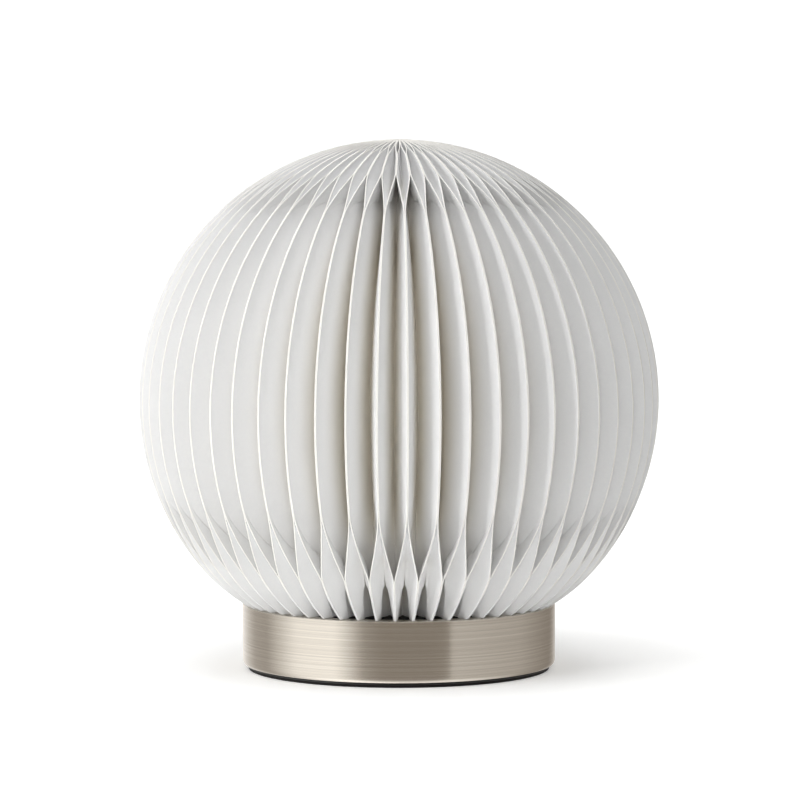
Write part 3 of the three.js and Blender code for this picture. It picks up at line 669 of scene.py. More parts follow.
@dataclass
class PaperShade(SubAssembly):
    """The globe of crescent leaves, its carrier ring and its hub.

    Pairs of leaves part and meet their other neighbours at the latitudes named crossed and paired. Depths of
    folds and pockets are shares of a leaf's whole depth.
    """

    body: str = field(default="shade", kw_only=True)
    globe_radius: float = 125.0
    globe_height: float = 130.0
    valley_depth: float = 29.0
    leaf_tail: float = 15.0
    leaf_thickness: float = 0.45
    glue_thickness: float = 0.02
    leaf_pairs: int = 54
    packs: int = 18
    tip_radius: float = 75.0
    foot_inner_radius: float = 53.0
    foot_height: float = 32.0
    hub_reach: float = 6.0
    front_seam: float = 1.88
    ring_radius: float = 69.0
    ring_thickness: float = 2.0
    seat_gap: float = 0.1
    board_edge: float = 0.25
    washer_radius: float = 11.0
    washer_thickness: float = 1.2
    washer_gap: float = 0.1
    hub_radius: float = 5.7
    hub_bore: float = 1.6
    dimple_width: float = 1.0
    dimple_depth: float = 0.6
    lower_crossed: float = -37.4
    lower_paired: float = -21.6
    upper_paired: float = 48.9
    upper_crossed: float = 61.9
    pole_crossed: float = 73.5
    pole_paired: float = 81.0
    parting_ease: float = 1.35
    crossed_fold_share: float = 0.44
    pocket_start: float = 0.03
    pocket_end: float = 0.33
    foot_pocket: float = 0.4
    pocket_round: float = 0.5
    lowest_floor: float = 0.8
    full_stack_share: float = 0.8
    fold_rounding: float = 0.04
    fold_reach: float = 0.12
    flare: float = 1.15
    holding: float = 0.05
    seam_wander: float = 0.22
    seed: int = 5
    pocket_steps: int = 7
    wall_steps: int = 17
    tail_steps: int = 7
    steps_along: int = 96

    # A leaf is a flat grid first, with "across" from its outer to its inner edge, "up" from its foot to the
    # hub and "through" its thickness. These rows, as add_values takes them, say where each of its points
    # goes.
    PLACE = (
        # Which leaf this is: its pair, its side of the pair's own seam, and the two seams beside it
        ("odd", "MODULO", "leaf", 2),
        ("side", "MULTIPLY_ADD", "odd", 2, -1),
        ("half leaf", "DIVIDE", "leaf", 2),
        ("pair in pack", "FLOOR", "half leaf"),
        ("pair", "ADD", "pair in pack", "First pair"),
        ("pitch", "DIVIDE", math.tau, "Pairs round the globe"),
        ("half side", "MULTIPLY", "side", 0.5),
        ("next pair", "ADD", "pair", "half side"),
        ("next index", "SUBTRACT", "next pair", 0.5),
        ("next seam number", "FLOORED_MODULO", "next index", "Pairs round the globe"),
    )
    SHAPE = (
        ("own start", "MULTIPLY_ADD", "pair", "pitch", "Front seam"),
        ("own seam", "MULTIPLY_ADD", "own wander", "Wander", "own start"),
        ("next start", "MULTIPLY_ADD", "next pair", "pitch", "Front seam"),
        ("next seam", "MULTIPLY_ADD", "next wander", "Wander", "next start"),
        ("between", "SUBTRACT", "next seam", "own seam"),
        ("half pitch", "MULTIPLY", "between", "side"),
        ("latitude", "RANGE", "up", 0, 1, "Foot latitude", "Hub latitude"),
        # How far the outer edge has changed over to the next seam: 0 in a pair, 1 where it is crossed
        ("low parting", "RANGE", "latitude", "Lower paired", "Lower crossed", 0, 1),
        ("low crossing", "POWER", "low parting", "Ease"),
        ("high parting", "RANGE", "latitude", "Upper paired", "Upper crossed", 0, 1),
        ("high crossing", "POWER", "high parting", "Ease"),
        ("pole parting", "RANGE", "latitude", "Pole paired", "Pole crossed", 0, 1),
        ("pole crossing", "POWER", "pole parting", "Ease"),
        ("high or pole", "MINIMUM", "high crossing", "pole crossing"),
        ("crossing", "MAXIMUM", "low crossing", "high or pole"),
        # Where a pair has parted, its leaves hold a pocket between them: shallow at the top of a diamond,
        # deeper where the edges are crossed, and open to the inside at the foot
        ("foot share", "RANGE", "latitude", "Lower crossed", "Foot latitude", 0, 1),
        ("foot share squared", "MULTIPLY", "foot share", "foot share"),
        ("foot deepening", "MULTIPLY", "foot share squared", "foot share squared"),
        ("pocket depth", "RANGE", "crossing", 0, 1, "Pocket start", "Pocket end"),
        ("pocket floor", "MULTIPLY_ADD", "Foot pocket", "foot deepening", "pocket depth"),
        # How deep each column of the grid lies: they crowd towards the pocket's floor and the fold
        ("fold", "RANGE", "crossing", 0, 1, "Fold share", "Crossed fold share"),
        ("lowest floor", "MULTIPLY", "fold", "Lowest floor"),
        ("floor column depth", "MINIMUM", "pocket floor", "lowest floor"),
        ("pocket columns left", "RANGE", "across", 0, "Floor column", 1, 0),
        ("pocket crowding", "MULTIPLY", "pocket columns left", "pocket columns left"),
        ("wall columns left", "RANGE", "across", "Floor column", "Fold column", 1, 0),
        ("wall crowding", "MULTIPLY", "wall columns left", "wall columns left"),
        ("wall left", "RANGE", "across", 0, "Fold column", 1, 0),
        ("tail left", "RANGE", "across", "Fold column", 1, 1, 0),
        ("tail depth left", "MULTIPLY", "tail left", "tail left"),
        ("behind fold", "SUBTRACT", 1, "fold"),
        ("tail depth", "MULTIPLY", "behind fold", "tail depth left"),
        ("wall span", "SUBTRACT", "fold", "floor column depth"),
        ("depth to floor", "MULTIPLY_ADD", "wall span", "wall crowding", "tail depth"),
        ("depth to edge", "MULTIPLY_ADD", "floor column depth", "pocket crowding", "depth to floor"),
        ("in", "SUBTRACT", 1, "depth to edge"),
        # Where the leaf's two edges run
        ("cos", "COSINE", "latitude"),
        ("sin", "SINE", "latitude"),
        ("tip radius squared", "MULTIPLY", "Foot radius", "Foot radius"),
        ("tip drop squared", "MULTIPLY_ADD", "Foot drop", "Foot drop", "tip radius squared"),
        ("tip reach", "SQRT", "tip drop squared"),
        ("rounding", "SUBTRACT", "tip reach", "Globe radius"),
        ("reach", "MULTIPLY_ADD", "rounding", "foot share squared", "Globe radius"),
        ("outer radius", "MULTIPLY", "reach", "cos"),
        ("outer height", "MULTIPLY", "reach", "sin"),
        ("inner latitude", "MAXIMUM", "latitude", "Lower crossed"),
        ("inner cos", "COSINE", "inner latitude"),
        ("inner sin", "SINE", "inner latitude"),
        ("inner arc radius", "MULTIPLY", "Inner radius", "inner cos"),
        ("inner arc height", "MULTIPLY", "Inner radius", "inner sin"),
        ("inner widening", "SUBTRACT", "Foot inner radius", "inner arc radius"),
        ("inner radius here", "MULTIPLY_ADD", "inner widening", "foot share", "inner arc radius"),
        ("inner drop", "SUBTRACT", "Foot drop", "inner arc height"),
        ("inner height here", "MULTIPLY_ADD", "inner drop", "foot share", "inner arc height"),
        ("radius span", "SUBTRACT", "inner radius here", "outer radius"),
        ("free radius", "MULTIPLY_ADD", "radius span", "in", "outer radius"),
        ("radius", "MAXIMUM", "free radius", "Hub reach"),
        ("height span", "SUBTRACT", "inner height here", "outer height"),
        ("height", "MULTIPLY_ADD", "height span", "in", "outer height"),
        # The leaf runs straight in from its outer edge and flares over to the glued fold, and behind it back
        # to its own seam. Each flare ends in a small round, so that the leaves of a fold meet in a soft
        # hollow
        ("wall bend", "RANGE", "wall left", 0, "Fold reach", 0, math.pi / 2),
        ("wall round", "SINE", "wall bend"),
        ("held share", "RANGE", "crossing", 0, "Holding", 0, 1),
        ("held", "MULTIPLY", "held share", "pocket depth"),
        ("wall depth", "RANGE", "in", "held", "fold", 0, 1),
        ("wall flare", "POWER", "wall depth", "Flare"),
        ("wall run", "SUBTRACT", 1, "wall flare"),
        ("wall swell", "SUBTRACT", "wall round", "wall run"),
        ("wall lean", "MULTIPLY_ADD", "wall swell", "Fold rounding", "wall run"),
        ("tail bend", "RANGE", "tail left", 0, "Fold reach", 0, math.pi / 2),
        ("tail round", "SINE", "tail bend"),
        ("tail depth share", "SUBTRACT", 1, "tail depth left"),
        ("tail flare", "POWER", "tail depth share", "Flare"),
        ("tail run", "SUBTRACT", 1, "tail flare"),
        ("tail swell", "SUBTRACT", "tail round", "tail run"),
        ("tail lean", "MULTIPLY_ADD", "tail swell", "Fold rounding", "tail run"),
        ("fold lean", "SUBTRACT", "tail lean", "wall lean"),
        # In a pocket the leaf comes round from the next seam to its own
        ("pocket left", "RANGE", "in", 0, "pocket floor", 1, 0),
        ("pocket curve", "POWER", "pocket left", "Pocket round"),
        ("leaf away", "MULTIPLY_ADD", "pocket curve", "crossing", "fold lean"),
        ("away", "MINIMUM", "leaf away", 1),
        # Its angle round the globe, with the leaf's thickness inside its own half of the pitch
        ("thickness angle", "DIVIDE", "Thickness", "radius"),
        ("stack angle", "MULTIPLY", "Stack share", "half pitch"),
        ("thin", "MINIMUM", "thickness angle", "stack angle"),
        ("glue angle", "DIVIDE", "Glue", "radius"),
        ("taken", "MULTIPLY_ADD", "glue angle", 2, "thin"),
        ("room", "SUBTRACT", "half pitch", "taken"),
        ("through angle", "MULTIPLY_ADD", "through", "thin", "glue angle"),
        ("offset", "MULTIPLY_ADD", "away", "room", "through angle"),
        ("angle", "MULTIPLY_ADD", "offset", "side", "own seam"),
        ("sin angle", "SINE", "angle"),
        ("cos angle", "COSINE", "angle"),
        ("x", "MULTIPLY", "radius", "sin angle"),
        ("front", "MULTIPLY", "radius", "cos angle"),
        ("y", "MULTIPLY", "front", -1),
        ("z", "ADD", "height", "Globe height"),
    )

    def wander(
        self, tree: bpy.types.NodeTree, seam: bpy.types.NodeSocket, seed: object
    ) -> bpy.types.NodeSocket:
        """Adds the chance share by which a seam wanders to one side, from -1 to 1.

        Args:
            tree: The geometry tree.
            seam: The seam's number.
            seed: The random seed.

        Returns:
            The share.
        """
        links = {"Min": -1.0, "Max": 1.0, "ID": seam, "Seed": seed}
        node = add_node(tree, "FunctionNodeRandomValue", data_type="FLOAT")
        # The sockets of a random value share their names among its types, so the enabled ones are found first
        for socket in node.inputs:
            if socket.enabled and isinstance(links.get(socket.name), bpy.types.NodeSocket):
                tree.links.new(links[socket.name], socket)
            elif socket.enabled and socket.name in links:
                socket.default_value = links[socket.name]
        return next(socket for socket in node.outputs if socket.enabled)

    def leaf_tree(self, values: dict[str, object]) -> bpy.types.NodeTree:
        """Builds the tree that makes one pack of leaves.

        Args:
            values: The values that its inputs will get.

        Returns:
            The geometry tree, with its sizes as named inputs.
        """
        tree, known = new_tree("pack of crescent leaves", values, "Leaves made")
        # One flat grid for each leaf, which keeps the leaf's number
        links = {"Vertices X": known["Steps across"], "Vertices Y": known["Steps along"], "Vertices Z": 2}
        sheet = add_node(tree, "GeometryNodeMeshCube", links).outputs["Mesh"]
        stack = add_node(tree, "GeometryNodeMeshLine", {"Count": known["Leaves"], "Offset": (0.0, 0.0, 0.0)})
        number = add_node(tree, "GeometryNodeInputIndex")
        kept = add_node(tree, "GeometryNodeCaptureAttribute", {"Geometry": stack.outputs["Mesh"]})
        kept.capture_items.new("INT", "leaf")
        tree.links.new(number.outputs[0], kept.inputs[1])
        links = {"Points": kept.outputs["Geometry"], "Instance": sheet}
        leaves = add_node(tree, "GeometryNodeInstanceOnPoints", links).outputs["Instances"]
        flat = add_node(tree, "GeometryNodeRealizeInstances", {"Geometry": leaves}).outputs[0]
        # The grid is a metre wide and centred, so its shares run from 0 to 1 after a shift by half
        here = add_node(tree, "GeometryNodeInputPosition").outputs[0]
        share = add_node(tree, "ShaderNodeVectorMath", {0: here, 1: (0.5, 0.5, 0.5)}, operation="ADD")
        apart = add_node(tree, "ShaderNodeSeparateXYZ", {"Vector": share.outputs[0]}).outputs
        known.update({"leaf": kept.outputs[1], "across": apart["X"], "up": apart["Y"], "through": apart["Z"]})
        add_values(tree, known, self.PLACE)
        known["own wander"] = self.wander(tree, known["pair"], known["Seed"])
        known["next wander"] = self.wander(tree, known["next seam number"], known["Next seed"])
        add_values(tree, known, self.SHAPE)
        place = add_node(tree, "ShaderNodeCombineXYZ", {"X": known["x"], "Y": known["y"], "Z": known["z"]})
        links = {"Geometry": flat, "Position": place.outputs[0]}
        bent = add_node(tree, "GeometryNodeSetPosition", links).outputs[0]
        # A leaf on the left of its seam is the mirror of one on the right, so its faces are turned out again
        turned_in = add_node(tree, "FunctionNodeCompare", {0: known["side"], 1: 0.0}, operation="LESS_THAN")
        links = {"Mesh": bent, "Selection": turned_in.outputs[0]}
        outwards = add_node(tree, "GeometryNodeFlipFaces", links).outputs[0]
        smooth = add_node(tree, "GeometryNodeSetShadeSmooth", {"Geometry": outwards}, domain="FACE")
        bend = add_node(tree, "GeometryNodeInputMeshEdgeAngle").outputs[0]
        sharp = add_node(tree, "FunctionNodeCompare", {0: bend, 1: SHARP_ANGLE}, operation="GREATER_THAN")
        links = {"Geometry": smooth.outputs[0], "Selection": sharp.outputs[0], "Shade Smooth": False}
        edged = add_node(tree, "GeometryNodeSetShadeSmooth", links, domain="EDGE").outputs[0]
        real = add_node(tree, "GeometryNodeRealizeInstances", {"Geometry": edged}).outputs[0]
        dressed = add_node(tree, "GeometryNodeSetMaterial", {"Geometry": real, "Material": known["Material"]})
        add_node(tree, "NodeGroupOutput", {0: dressed.outputs[0]})
        return tree

    def leaves(self) -> None:
        """Builds the packs of leaves from one tree."""
        drop = self.foot_height - self.globe_height
        pairs = self.leaf_pairs // self.packs
        steps = self.wall_steps + self.tail_steps
        values = {
            "First pair": 0,
            "Leaves": 2 * pairs,
            "Pairs round the globe": self.leaf_pairs,
            "Steps across": steps + 1,
            "Steps along": self.steps_along + 1,
            "Seed": self.seed,
            "Next seed": self.seed + 1,
            "Globe radius": self.globe_radius * MM,
            "Globe height": self.globe_height * MM,
            "Inner radius": (self.globe_radius - self.valley_depth - self.leaf_tail) * MM,
            "Foot radius": self.tip_radius * MM,
            "Foot inner radius": self.foot_inner_radius * MM,
            "Foot drop": drop * MM,
            "Hub reach": self.hub_reach * MM,
            "Thickness": self.leaf_thickness * MM,
            "Glue": self.glue_thickness * MM,
            "Fold share": self.valley_depth / (self.valley_depth + self.leaf_tail),
            "Pocket start": self.pocket_start,
            "Pocket end": self.pocket_end,
            "Foot pocket": self.foot_pocket,
            "Pocket round": self.pocket_round,
            "Crossed fold share": self.crossed_fold_share,
            "Lowest floor": self.lowest_floor,
            "Floor column": self.pocket_steps / steps,
            "Fold column": self.wall_steps / steps,
            "Fold rounding": self.fold_rounding,
            "Fold reach": self.fold_reach,
            "Flare": self.flare,
            "Holding": self.holding,
            "Stack share": self.full_stack_share,
            "Ease": self.parting_ease,
            "Wander": math.radians(self.seam_wander),
            "Front seam": math.radians(self.front_seam),
            "Foot latitude": math.atan2(drop, self.tip_radius),
            "Hub latitude": math.acos(self.hub_reach / self.globe_radius),
            "Lower crossed": math.radians(self.lower_crossed),
            "Lower paired": math.radians(self.lower_paired),
            "Upper paired": math.radians(self.upper_paired),
            "Upper crossed": math.radians(self.upper_crossed),
            "Pole crossed": math.radians(self.pole_crossed),
            "Pole paired": math.radians(self.pole_paired),
            "Material": self.wardrobe.material("paper"),
        }
        tree = self.leaf_tree(values)
        for index in range(self.packs):
            number = f"{index + 1:02d}"
            pack = evaluated(f"paper_leaves_{number}", tree, {**values, "First pair": index * pairs})
            self.fit(pack, "paper", "paper", [f"leaf_pack_{number}"])

    def carrier(self) -> None:
        """Builds the board ring under the leaves and the washer and spindle that hold their upper ends."""
        ring = ring_outline(self.ring_radius, self.foot_inner_radius, self.ring_thickness, self.board_edge)
        ring_height = self.foot_height - self.seat_gap - self.ring_thickness
        carrier = turned("carrier_ring", lifted(ring, ring_height), Sides.RING)
        # The carrier ring is near-black board as painted shade, which darkens the gaps between the leaves'
        # tips
        self.fit(carrier, "painted_shade_board", "card", ["shade_ring"])
        low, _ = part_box("hub_washer")
        inner = self.hub_radius + self.washer_gap
        washer = ring_outline(self.washer_radius, inner, self.washer_thickness, 0.2)
        disc = turned("hub_disc", lifted(washer, low[2] / MM), Sides.SMALL)
        self.fit(disc, "card", "card", ["hub_washer"])
        low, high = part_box("top_hub")
        # Its top is a pressed cap with a soft edge and a shallow dimple round the bore
        bottom, top = low[2] / MM, high[2] / MM
        spindle = [
            (self.hub_bore, bottom, 0.2),
            (self.hub_radius, bottom, 0.3),
            (self.hub_radius, top, 0.5),
            (self.hub_bore + self.dimple_width, top),
            (self.hub_bore, top - self.dimple_depth),
        ]
        self.fit(turned("hub_spindle", spindle, Sides.SMALL), "card", "card", ["top_hub"])

    def build(self) -> None:
        """Builds the shade."""
        self.leaves()
        self.carrier()


# Base


@dataclass
class DrumBase(SubAssembly):
    """The brushed drum with its weight, its bottom plate and pad, and the cord inlet."""

    radius: float = 75.4
    bottom: float = 2.4
    height: float = 29.5
    wall: float = 1.2
    foot_round: float = 2.8
    rim_round: float = 0.9
    inner_round: float = 0.8
    sheet_edge: float = 0.3
    lip: float = 3.4
    recess_radius: float = 69.3
    deck_height: float = 29.8
    stem_hole: float = 5.1
    plate_radius: float = 73.1
    plate_bottom: float = 1.3
    plate_thickness: float = 1.0
    pad_radius: float = 72.6
    pad_width: float = 15.6
    pad_height: float = 1.2
    screw_circle: float = 50.0
    screw_count: int = 3
    screw_radius: float = 1.9
    screw_length: float = 10.0
    screw_head_radius: float = 4.0
    screw_head_height: float = 0.9
    slot_width: float = 0.9
    slot_depth: float = 0.4
    screw_sides: int = 40
    shank_sides: int = 24
    gland_radius: float = 5.3
    gland_bore: float = 3.4
    gland_flange_radius: float = 8.0
    gland_flange: float = 2.6
    gland_length: float = 15.0
    gland_lip: float = 0.6
    gland_height: float = 12.0
    gland_nut_flats: float = 15.0
    gland_nut_height: float = 4.0
    gap: float = 0.1

    def drum(self) -> None:
        """Builds the drum shell, spun from sheet: a wall, a rolled foot and a flanged, sunken deck."""
        top = self.bottom + self.height
        inner, lip = self.radius - self.wall, self.radius - self.lip
        deck, under = self.deck_height, self.deck_height - self.wall
        outline = [
            (self.stem_hole, deck),
            (self.recess_radius, deck, self.sheet_edge),
            (self.recess_radius, top, self.sheet_edge),
            (self.radius, top, self.rim_round),
            (self.radius, self.bottom, self.foot_round),
            (lip, self.bottom, self.sheet_edge),
            (lip, self.bottom + self.wall, self.sheet_edge),
            (inner, self.bottom + self.wall, self.inner_round),
            (inner, top - self.wall),
            (self.recess_radius + self.wall, top - self.wall),
            (self.recess_radius + self.wall, under),
            (self.stem_hole, under),
        ]
        self.fit(turned("drum_wall", outline, Sides.DRUM), "nickel", "nickel", ["drum_shell"])

    def foot(self) -> None:
        """Builds the bottom plate and the pad that the lamp stands on."""
        bottom, top = self.plate_bottom, self.plate_bottom + self.plate_thickness
        plate = [
            (0, bottom),
            (self.plate_radius, bottom, 0.25),
            (self.plate_radius, top, 0.15),
            (0, top),
        ]
        self.fit(turned("bottom_plate", plate, Sides.PLATE), "powder", "black_plate", ["base_plate"])
        pad_mouth = self.pad_radius - self.pad_width
        pad = ring_outline(self.pad_radius, pad_mouth, self.pad_height, self.sheet_edge)
        self.fit(turned("foot_pad_ring", pad, Sides.PLATE), "rubber", "black_pad", ["foot_pad"])

    def screw_tree(self, values: dict[str, object]) -> bpy.types.NodeTree:
        """Builds the tree that sets slotted screws on a circle.

        Args:
            values: The values that its inputs will get.

        Returns:
            The geometry tree, with its sizes as named inputs.
        """
        tree, known = new_tree("circle of slotted screws", values, "Screws made")

        def standing(mesh: bpy.types.NodeSocket, height: bpy.types.NodeSocket) -> bpy.types.NodeSocket:
            """Moves a mesh up or down."""
            offset = add_node(tree, "ShaderNodeCombineXYZ", {"Z": height}).outputs[0]
            links = {"Geometry": mesh, "Translation": offset}
            return add_node(tree, "GeometryNodeTransform", links).outputs[0]

        # The cutter of the slot is longer than the head is wide, and sinks half its height into the head
        rows = (
            ("head middle", "MULTIPLY", "Head height", -0.5),
            ("head face", "MULTIPLY", "Head height", -1.0),
            ("shank middle", "MULTIPLY", "Shank length", 0.5),
            ("cutter length", "MULTIPLY", "Head radius", 3.0),
            ("cutter height", "MULTIPLY", "Slot depth", 2.0),
        )
        add_values(tree, known, rows)
        links = {"Vertices": self.screw_sides, "Radius": known["Head radius"], "Depth": known["Head height"]}
        head = add_node(tree, "GeometryNodeMeshCylinder", links).outputs["Mesh"]
        links = {
            "Vertices": self.shank_sides,
            "Radius": known["Shank radius"],
            "Depth": known["Shank length"],
        }
        shank = add_node(tree, "GeometryNodeMeshCylinder", links).outputs["Mesh"]
        links = {"X": known["cutter length"], "Y": known["Slot width"], "Z": known["cutter height"]}
        size = add_node(tree, "ShaderNodeCombineXYZ", links).outputs[0]
        cutter = add_node(tree, "GeometryNodeMeshCube", {"Size": size}).outputs["Mesh"]
        links = {0: standing(head, known["head middle"]), 1: standing(cutter, known["head face"])}
        slotted = add_node(tree, "GeometryNodeMeshBoolean", links, operation="DIFFERENCE", solver="EXACT")
        both = add_node(tree, "GeometryNodeJoinGeometry")
        tree.links.new(standing(shank, known["shank middle"]), both.inputs[0])
        tree.links.new(slotted.outputs["Mesh"], both.inputs[0])
        raised = standing(both.outputs[0], known["Height"])
        links = {"Vertices": known["Screws"], "Radius": known["Circle radius"]}
        circle = add_node(tree, "GeometryNodeMeshCircle", links).outputs["Mesh"]
        # The first screw stands at the front
        links = {"Geometry": circle, "Rotation": (0.0, 0.0, -math.pi / 2)}
        turned_round = add_node(tree, "GeometryNodeTransform", links).outputs[0]
        links = {"Points": turned_round, "Instance": raised}
        spread = add_node(tree, "GeometryNodeInstanceOnPoints", links).outputs[0]
        real = add_node(tree, "GeometryNodeRealizeInstances", {"Geometry": spread}).outputs[0]
        dressed = add_node(tree, "GeometryNodeSetMaterial", {"Geometry": real, "Material": known["Material"]})
        add_node(tree, "NodeGroupOutput", {0: dressed.outputs[0]})
        return tree

    def screws(self) -> None:
        """Builds the three screws that hold the bottom plate."""
        sizes = {
            "Circle radius": self.screw_circle,
            "Head radius": self.screw_head_radius,
            "Head height": self.screw_head_height,
            "Shank radius": self.screw_radius,
            "Shank length": self.screw_length,
            "Slot width": self.slot_width,
            "Slot depth": self.slot_depth,
            "Height": self.plate_bottom - self.gap,
        }
        values = {name: size * MM for name, size in sizes.items()}
        values.update({"Screws": self.screw_count, "Material": self.wardrobe.material("steel")})
        screws = evaluated("plate_screws", self.screw_tree(values), values)
        nodes = [f"plate_screw_{index + 1}" for index in range(self.screw_count)]
        self.fit(screws, "steel", "steel", nodes)

    def inlet(self) -> None:
        """Builds the cord gland in the back of the drum, and its nut."""
        outside = self.gland_length + self.gland_flange
        outline = [
            (self.gland_bore, 0, 0.3),
            (self.gland_bore, outside, 0.8),
            (self.gland_radius + self.gland_lip, outside, 0.6),
            (self.gland_flange_radius, self.gland_length + self.gland_flange / 2, 0.5),
            (self.gland_flange_radius, self.gland_length, 0.2),
            (self.gland_radius, self.gland_length),
            (self.gland_radius, 0, 0.4),
        ]
        corner = self.gland_nut_flats / math.sqrt(3)
        nut = ring_outline(corner, self.gland_radius + self.gap, self.gland_nut_height, 0.4)
        flats = hexagon(self.gland_nut_flats)
        back = Matrix.Rotation(-math.pi / 2, 4, "X")
        for name, node, shape, sides, warp in (
            ("cord_inlet_gland", "cord_gland", outline[::-1], Sides.SMALL, None),
            ("cord_inlet_nut", "gland_nut", nut, Sides.NUT, flats),
        ):
            inner_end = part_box(node)[0][1]
            place = Matrix.Translation((0, inner_end, self.gland_height * MM)) @ back
            self.fit(turned(name, shape, sides, warp, place), "phenolic", "black_plastic", [node])

    def build(self) -> None:
        """Builds the base."""
        self.drum()
        self.foot()
        self.screws()
        self.inlet()


# Stem and lampholder


@dataclass
class Lampholder(SubAssembly):
    """The threaded stem with its nuts, and the screw lampholder on it."""

    stem_radius: float = 5.0
    stem_bore: float = 3.6
    stem_pitch: float = 1.0
    stem_thread: float = 0.35
    stem_run_out: float = 0.6
    nut_flats: float = 14.0
    nut_height: float = 4.0
    washer_radius: float = 10.0
    washer_thickness: float = 1.2
    radius: float = 19.0
    wall: float = 1.6
    neck_radius: float = 12.0
    slope: float = 6.0
    cap_height: float = 15.0
    cap_floor: float = 5.0
    shell_height: float = 36.0
    rim_width: float = 1.4
    rim_height: float = 3.0
    groove_count: int = 3
    groove_start: float = 4.0
    groove_pitch: float = 3.2
    groove_depth: float = 0.5
    groove_slope: float = 0.4
    groove_floor: float = 0.6
    rib_count: int = 36
    rib_depth: float = 0.5
    rib_run_out: float = 0.4
    rib_margin_low: float = 1.6
    rib_margin_high: float = 1.0
    sleeve_radius: float = 13.4
    sleeve_wall: float = 0.6
    sleeve_root: float = 0.3
    sleeve_pitch: float = 3.6
    sleeve_run_out: float = 2.0
    sleeve_margin: float = 1.0
    insert_lip: float = 0.6
    well_slope: float = 1.0
    well_gap: float = 1.4
    contact_radius: float = 3.0
    contact_height: float = 1.4
    contact_shoulder: float = 0.5
    gap: float = 0.1

    def stem(self) -> None:
        """Builds the stem tube, with its rolled thread, the washer and the two nuts."""
        low, high = (corner[2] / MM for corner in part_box("stem_tube"))
        outline = [
            (self.stem_bore, low, 0.2),
            *wall(self.stem_radius, low + 0.2, high - 0.2, self.stem_pitch / 6),
            (self.stem_bore, high, 0.2),
        ]
        crest = self.stem_radius - self.gap
        thread = helix(self.stem_pitch, self.stem_thread, low, high, crest, self.stem_run_out)
        self.fit(turned("stem", outline, Sides.ROD, thread), "steel", "steel", ["stem_tube"])
        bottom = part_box("stem_washer")[0][2] / MM
        bore = self.stem_radius + self.gap
        washer = ring_outline(self.washer_radius, bore, self.washer_thickness, 0.2)
        self.fit(turned("stem_disc", lifted(washer, bottom), Sides.WASHER), "steel", "steel", ["stem_washer"])
        corner = self.nut_flats / math.sqrt(3)
        for node in ("stem_nut_lower", "stem_nut_upper"):
            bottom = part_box(node)[0][2] / MM
            nut = lifted(ring_outline(corner, bore, self.nut_height, 0.9), bottom)
            flats = hexagon(self.nut_flats)
            self.fit(turned(f"{node}_hex", nut, Sides.NUT, flats), "steel", "steel", [node])

    def ribbed(self, low: float, high: float) -> Warp:
        """Presses grip ribs into the cap's straight wall.

        Args:
            low: Height at which the ribs start.
            high: Height at which they end.

        Returns:
            A warp for `turned`.
        """

        def warp(angle: float, radius: float, height: float) -> tuple[float, float]:
            """Presses one point in between two ribs."""
            if radius < self.radius - self.rib_depth or not low <= height <= high:
                return radius, height
            return radius - self.rib_depth * (0.5 - 0.5 * math.cos(self.rib_count * angle)), height

        return warp

    def cap(self) -> None:
        """Builds the moulded cap with its grip ribs."""
        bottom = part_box("lampholder_cap")[0][2] / MM
        inner = self.radius - self.wall
        ribs_low = self.slope + self.rib_margin_low
        ribs_high = self.cap_height - self.rib_margin_high
        outline = [
            (self.stem_radius + self.gap, 0, 0.2),
            (self.neck_radius, 0, 0.6),
            (self.radius, self.slope, 1.5),
            (self.radius, ribs_low),
            (self.radius, ribs_low + self.rib_run_out),
            (self.radius, ribs_high - self.rib_run_out),
            (self.radius, ribs_high),
            (self.radius, self.cap_height, 0.3),
            (inner, self.cap_height, 0.2),
            (inner, self.slope + self.wall, 1.0),
            (self.neck_radius - self.wall, self.cap_floor, 0.5),
            (self.stem_radius + self.gap, self.cap_floor, 0.2),
        ]
        half = self.rib_run_out / 2
        ribs = self.ribbed(bottom + ribs_low + half, bottom + ribs_high - half)
        piece = turned("holder_cap", lifted(outline, bottom), Sides.RIBBED, ribs)
        self.fit(piece, "phenolic", "black_plastic", ["lampholder_cap"])

    def shell(self) -> None:
        """Builds the moulded shell with its grooves and its rim."""
        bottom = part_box("lampholder_shell")[0][2] / MM
        inner, rim = self.radius - self.wall, self.radius + self.rim_width
        rim_low = self.shell_height - self.rim_height
        floor = self.radius - self.groove_depth
        grooves = []
        for index in range(self.groove_count):
            start = self.groove_start + self.groove_pitch * index
            floor_low = start + self.groove_slope
            floor_high = floor_low + self.groove_floor
            grooves += [
                (self.radius, start, 0.2),
                (floor, floor_low, 0.2),
                (floor, floor_high, 0.2),
                (self.radius, floor_high + self.groove_slope, 0.2),
            ]
        outline = [
            (inner, 0, 0.2),
            (self.radius, 0, 0.4),
            *grooves,
            (self.radius, rim_low, 0.6),
            (rim, rim_low, 0.6),
            (rim, self.shell_height, 0.8),
            (inner, self.shell_height, 0.6),
        ]
        piece = turned("holder_shell", lifted(outline, bottom), Sides.CUP)
        self.fit(piece, "phenolic", "black_plastic", ["lampholder_shell"])

    def insert(self) -> None:
        """Builds the ceramic insert, with its lip round the sleeve and the well of the contact."""
        low, high = (corner[2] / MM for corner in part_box("lampholder_insert"))
        edge = self.radius - self.wall - self.gap
        lip = self.sleeve_radius + self.sleeve_wall + self.insert_lip
        well = self.contact_radius + self.well_gap
        outline = [
            (0, low),
            (edge, low, 0.4),
            (edge, high, 0.4),
            (lip, high, 0.2),
            (lip, high - self.insert_lip, 0.2),
            (well + self.well_slope, high - self.insert_lip, 0.2),
            (well, high, 0.2),
            (0, high),
        ]
        piece = turned("holder_insert", outline, Sides.NUT)
        self.fit(piece, "steatite", "white_insulator", ["lampholder_insert"])

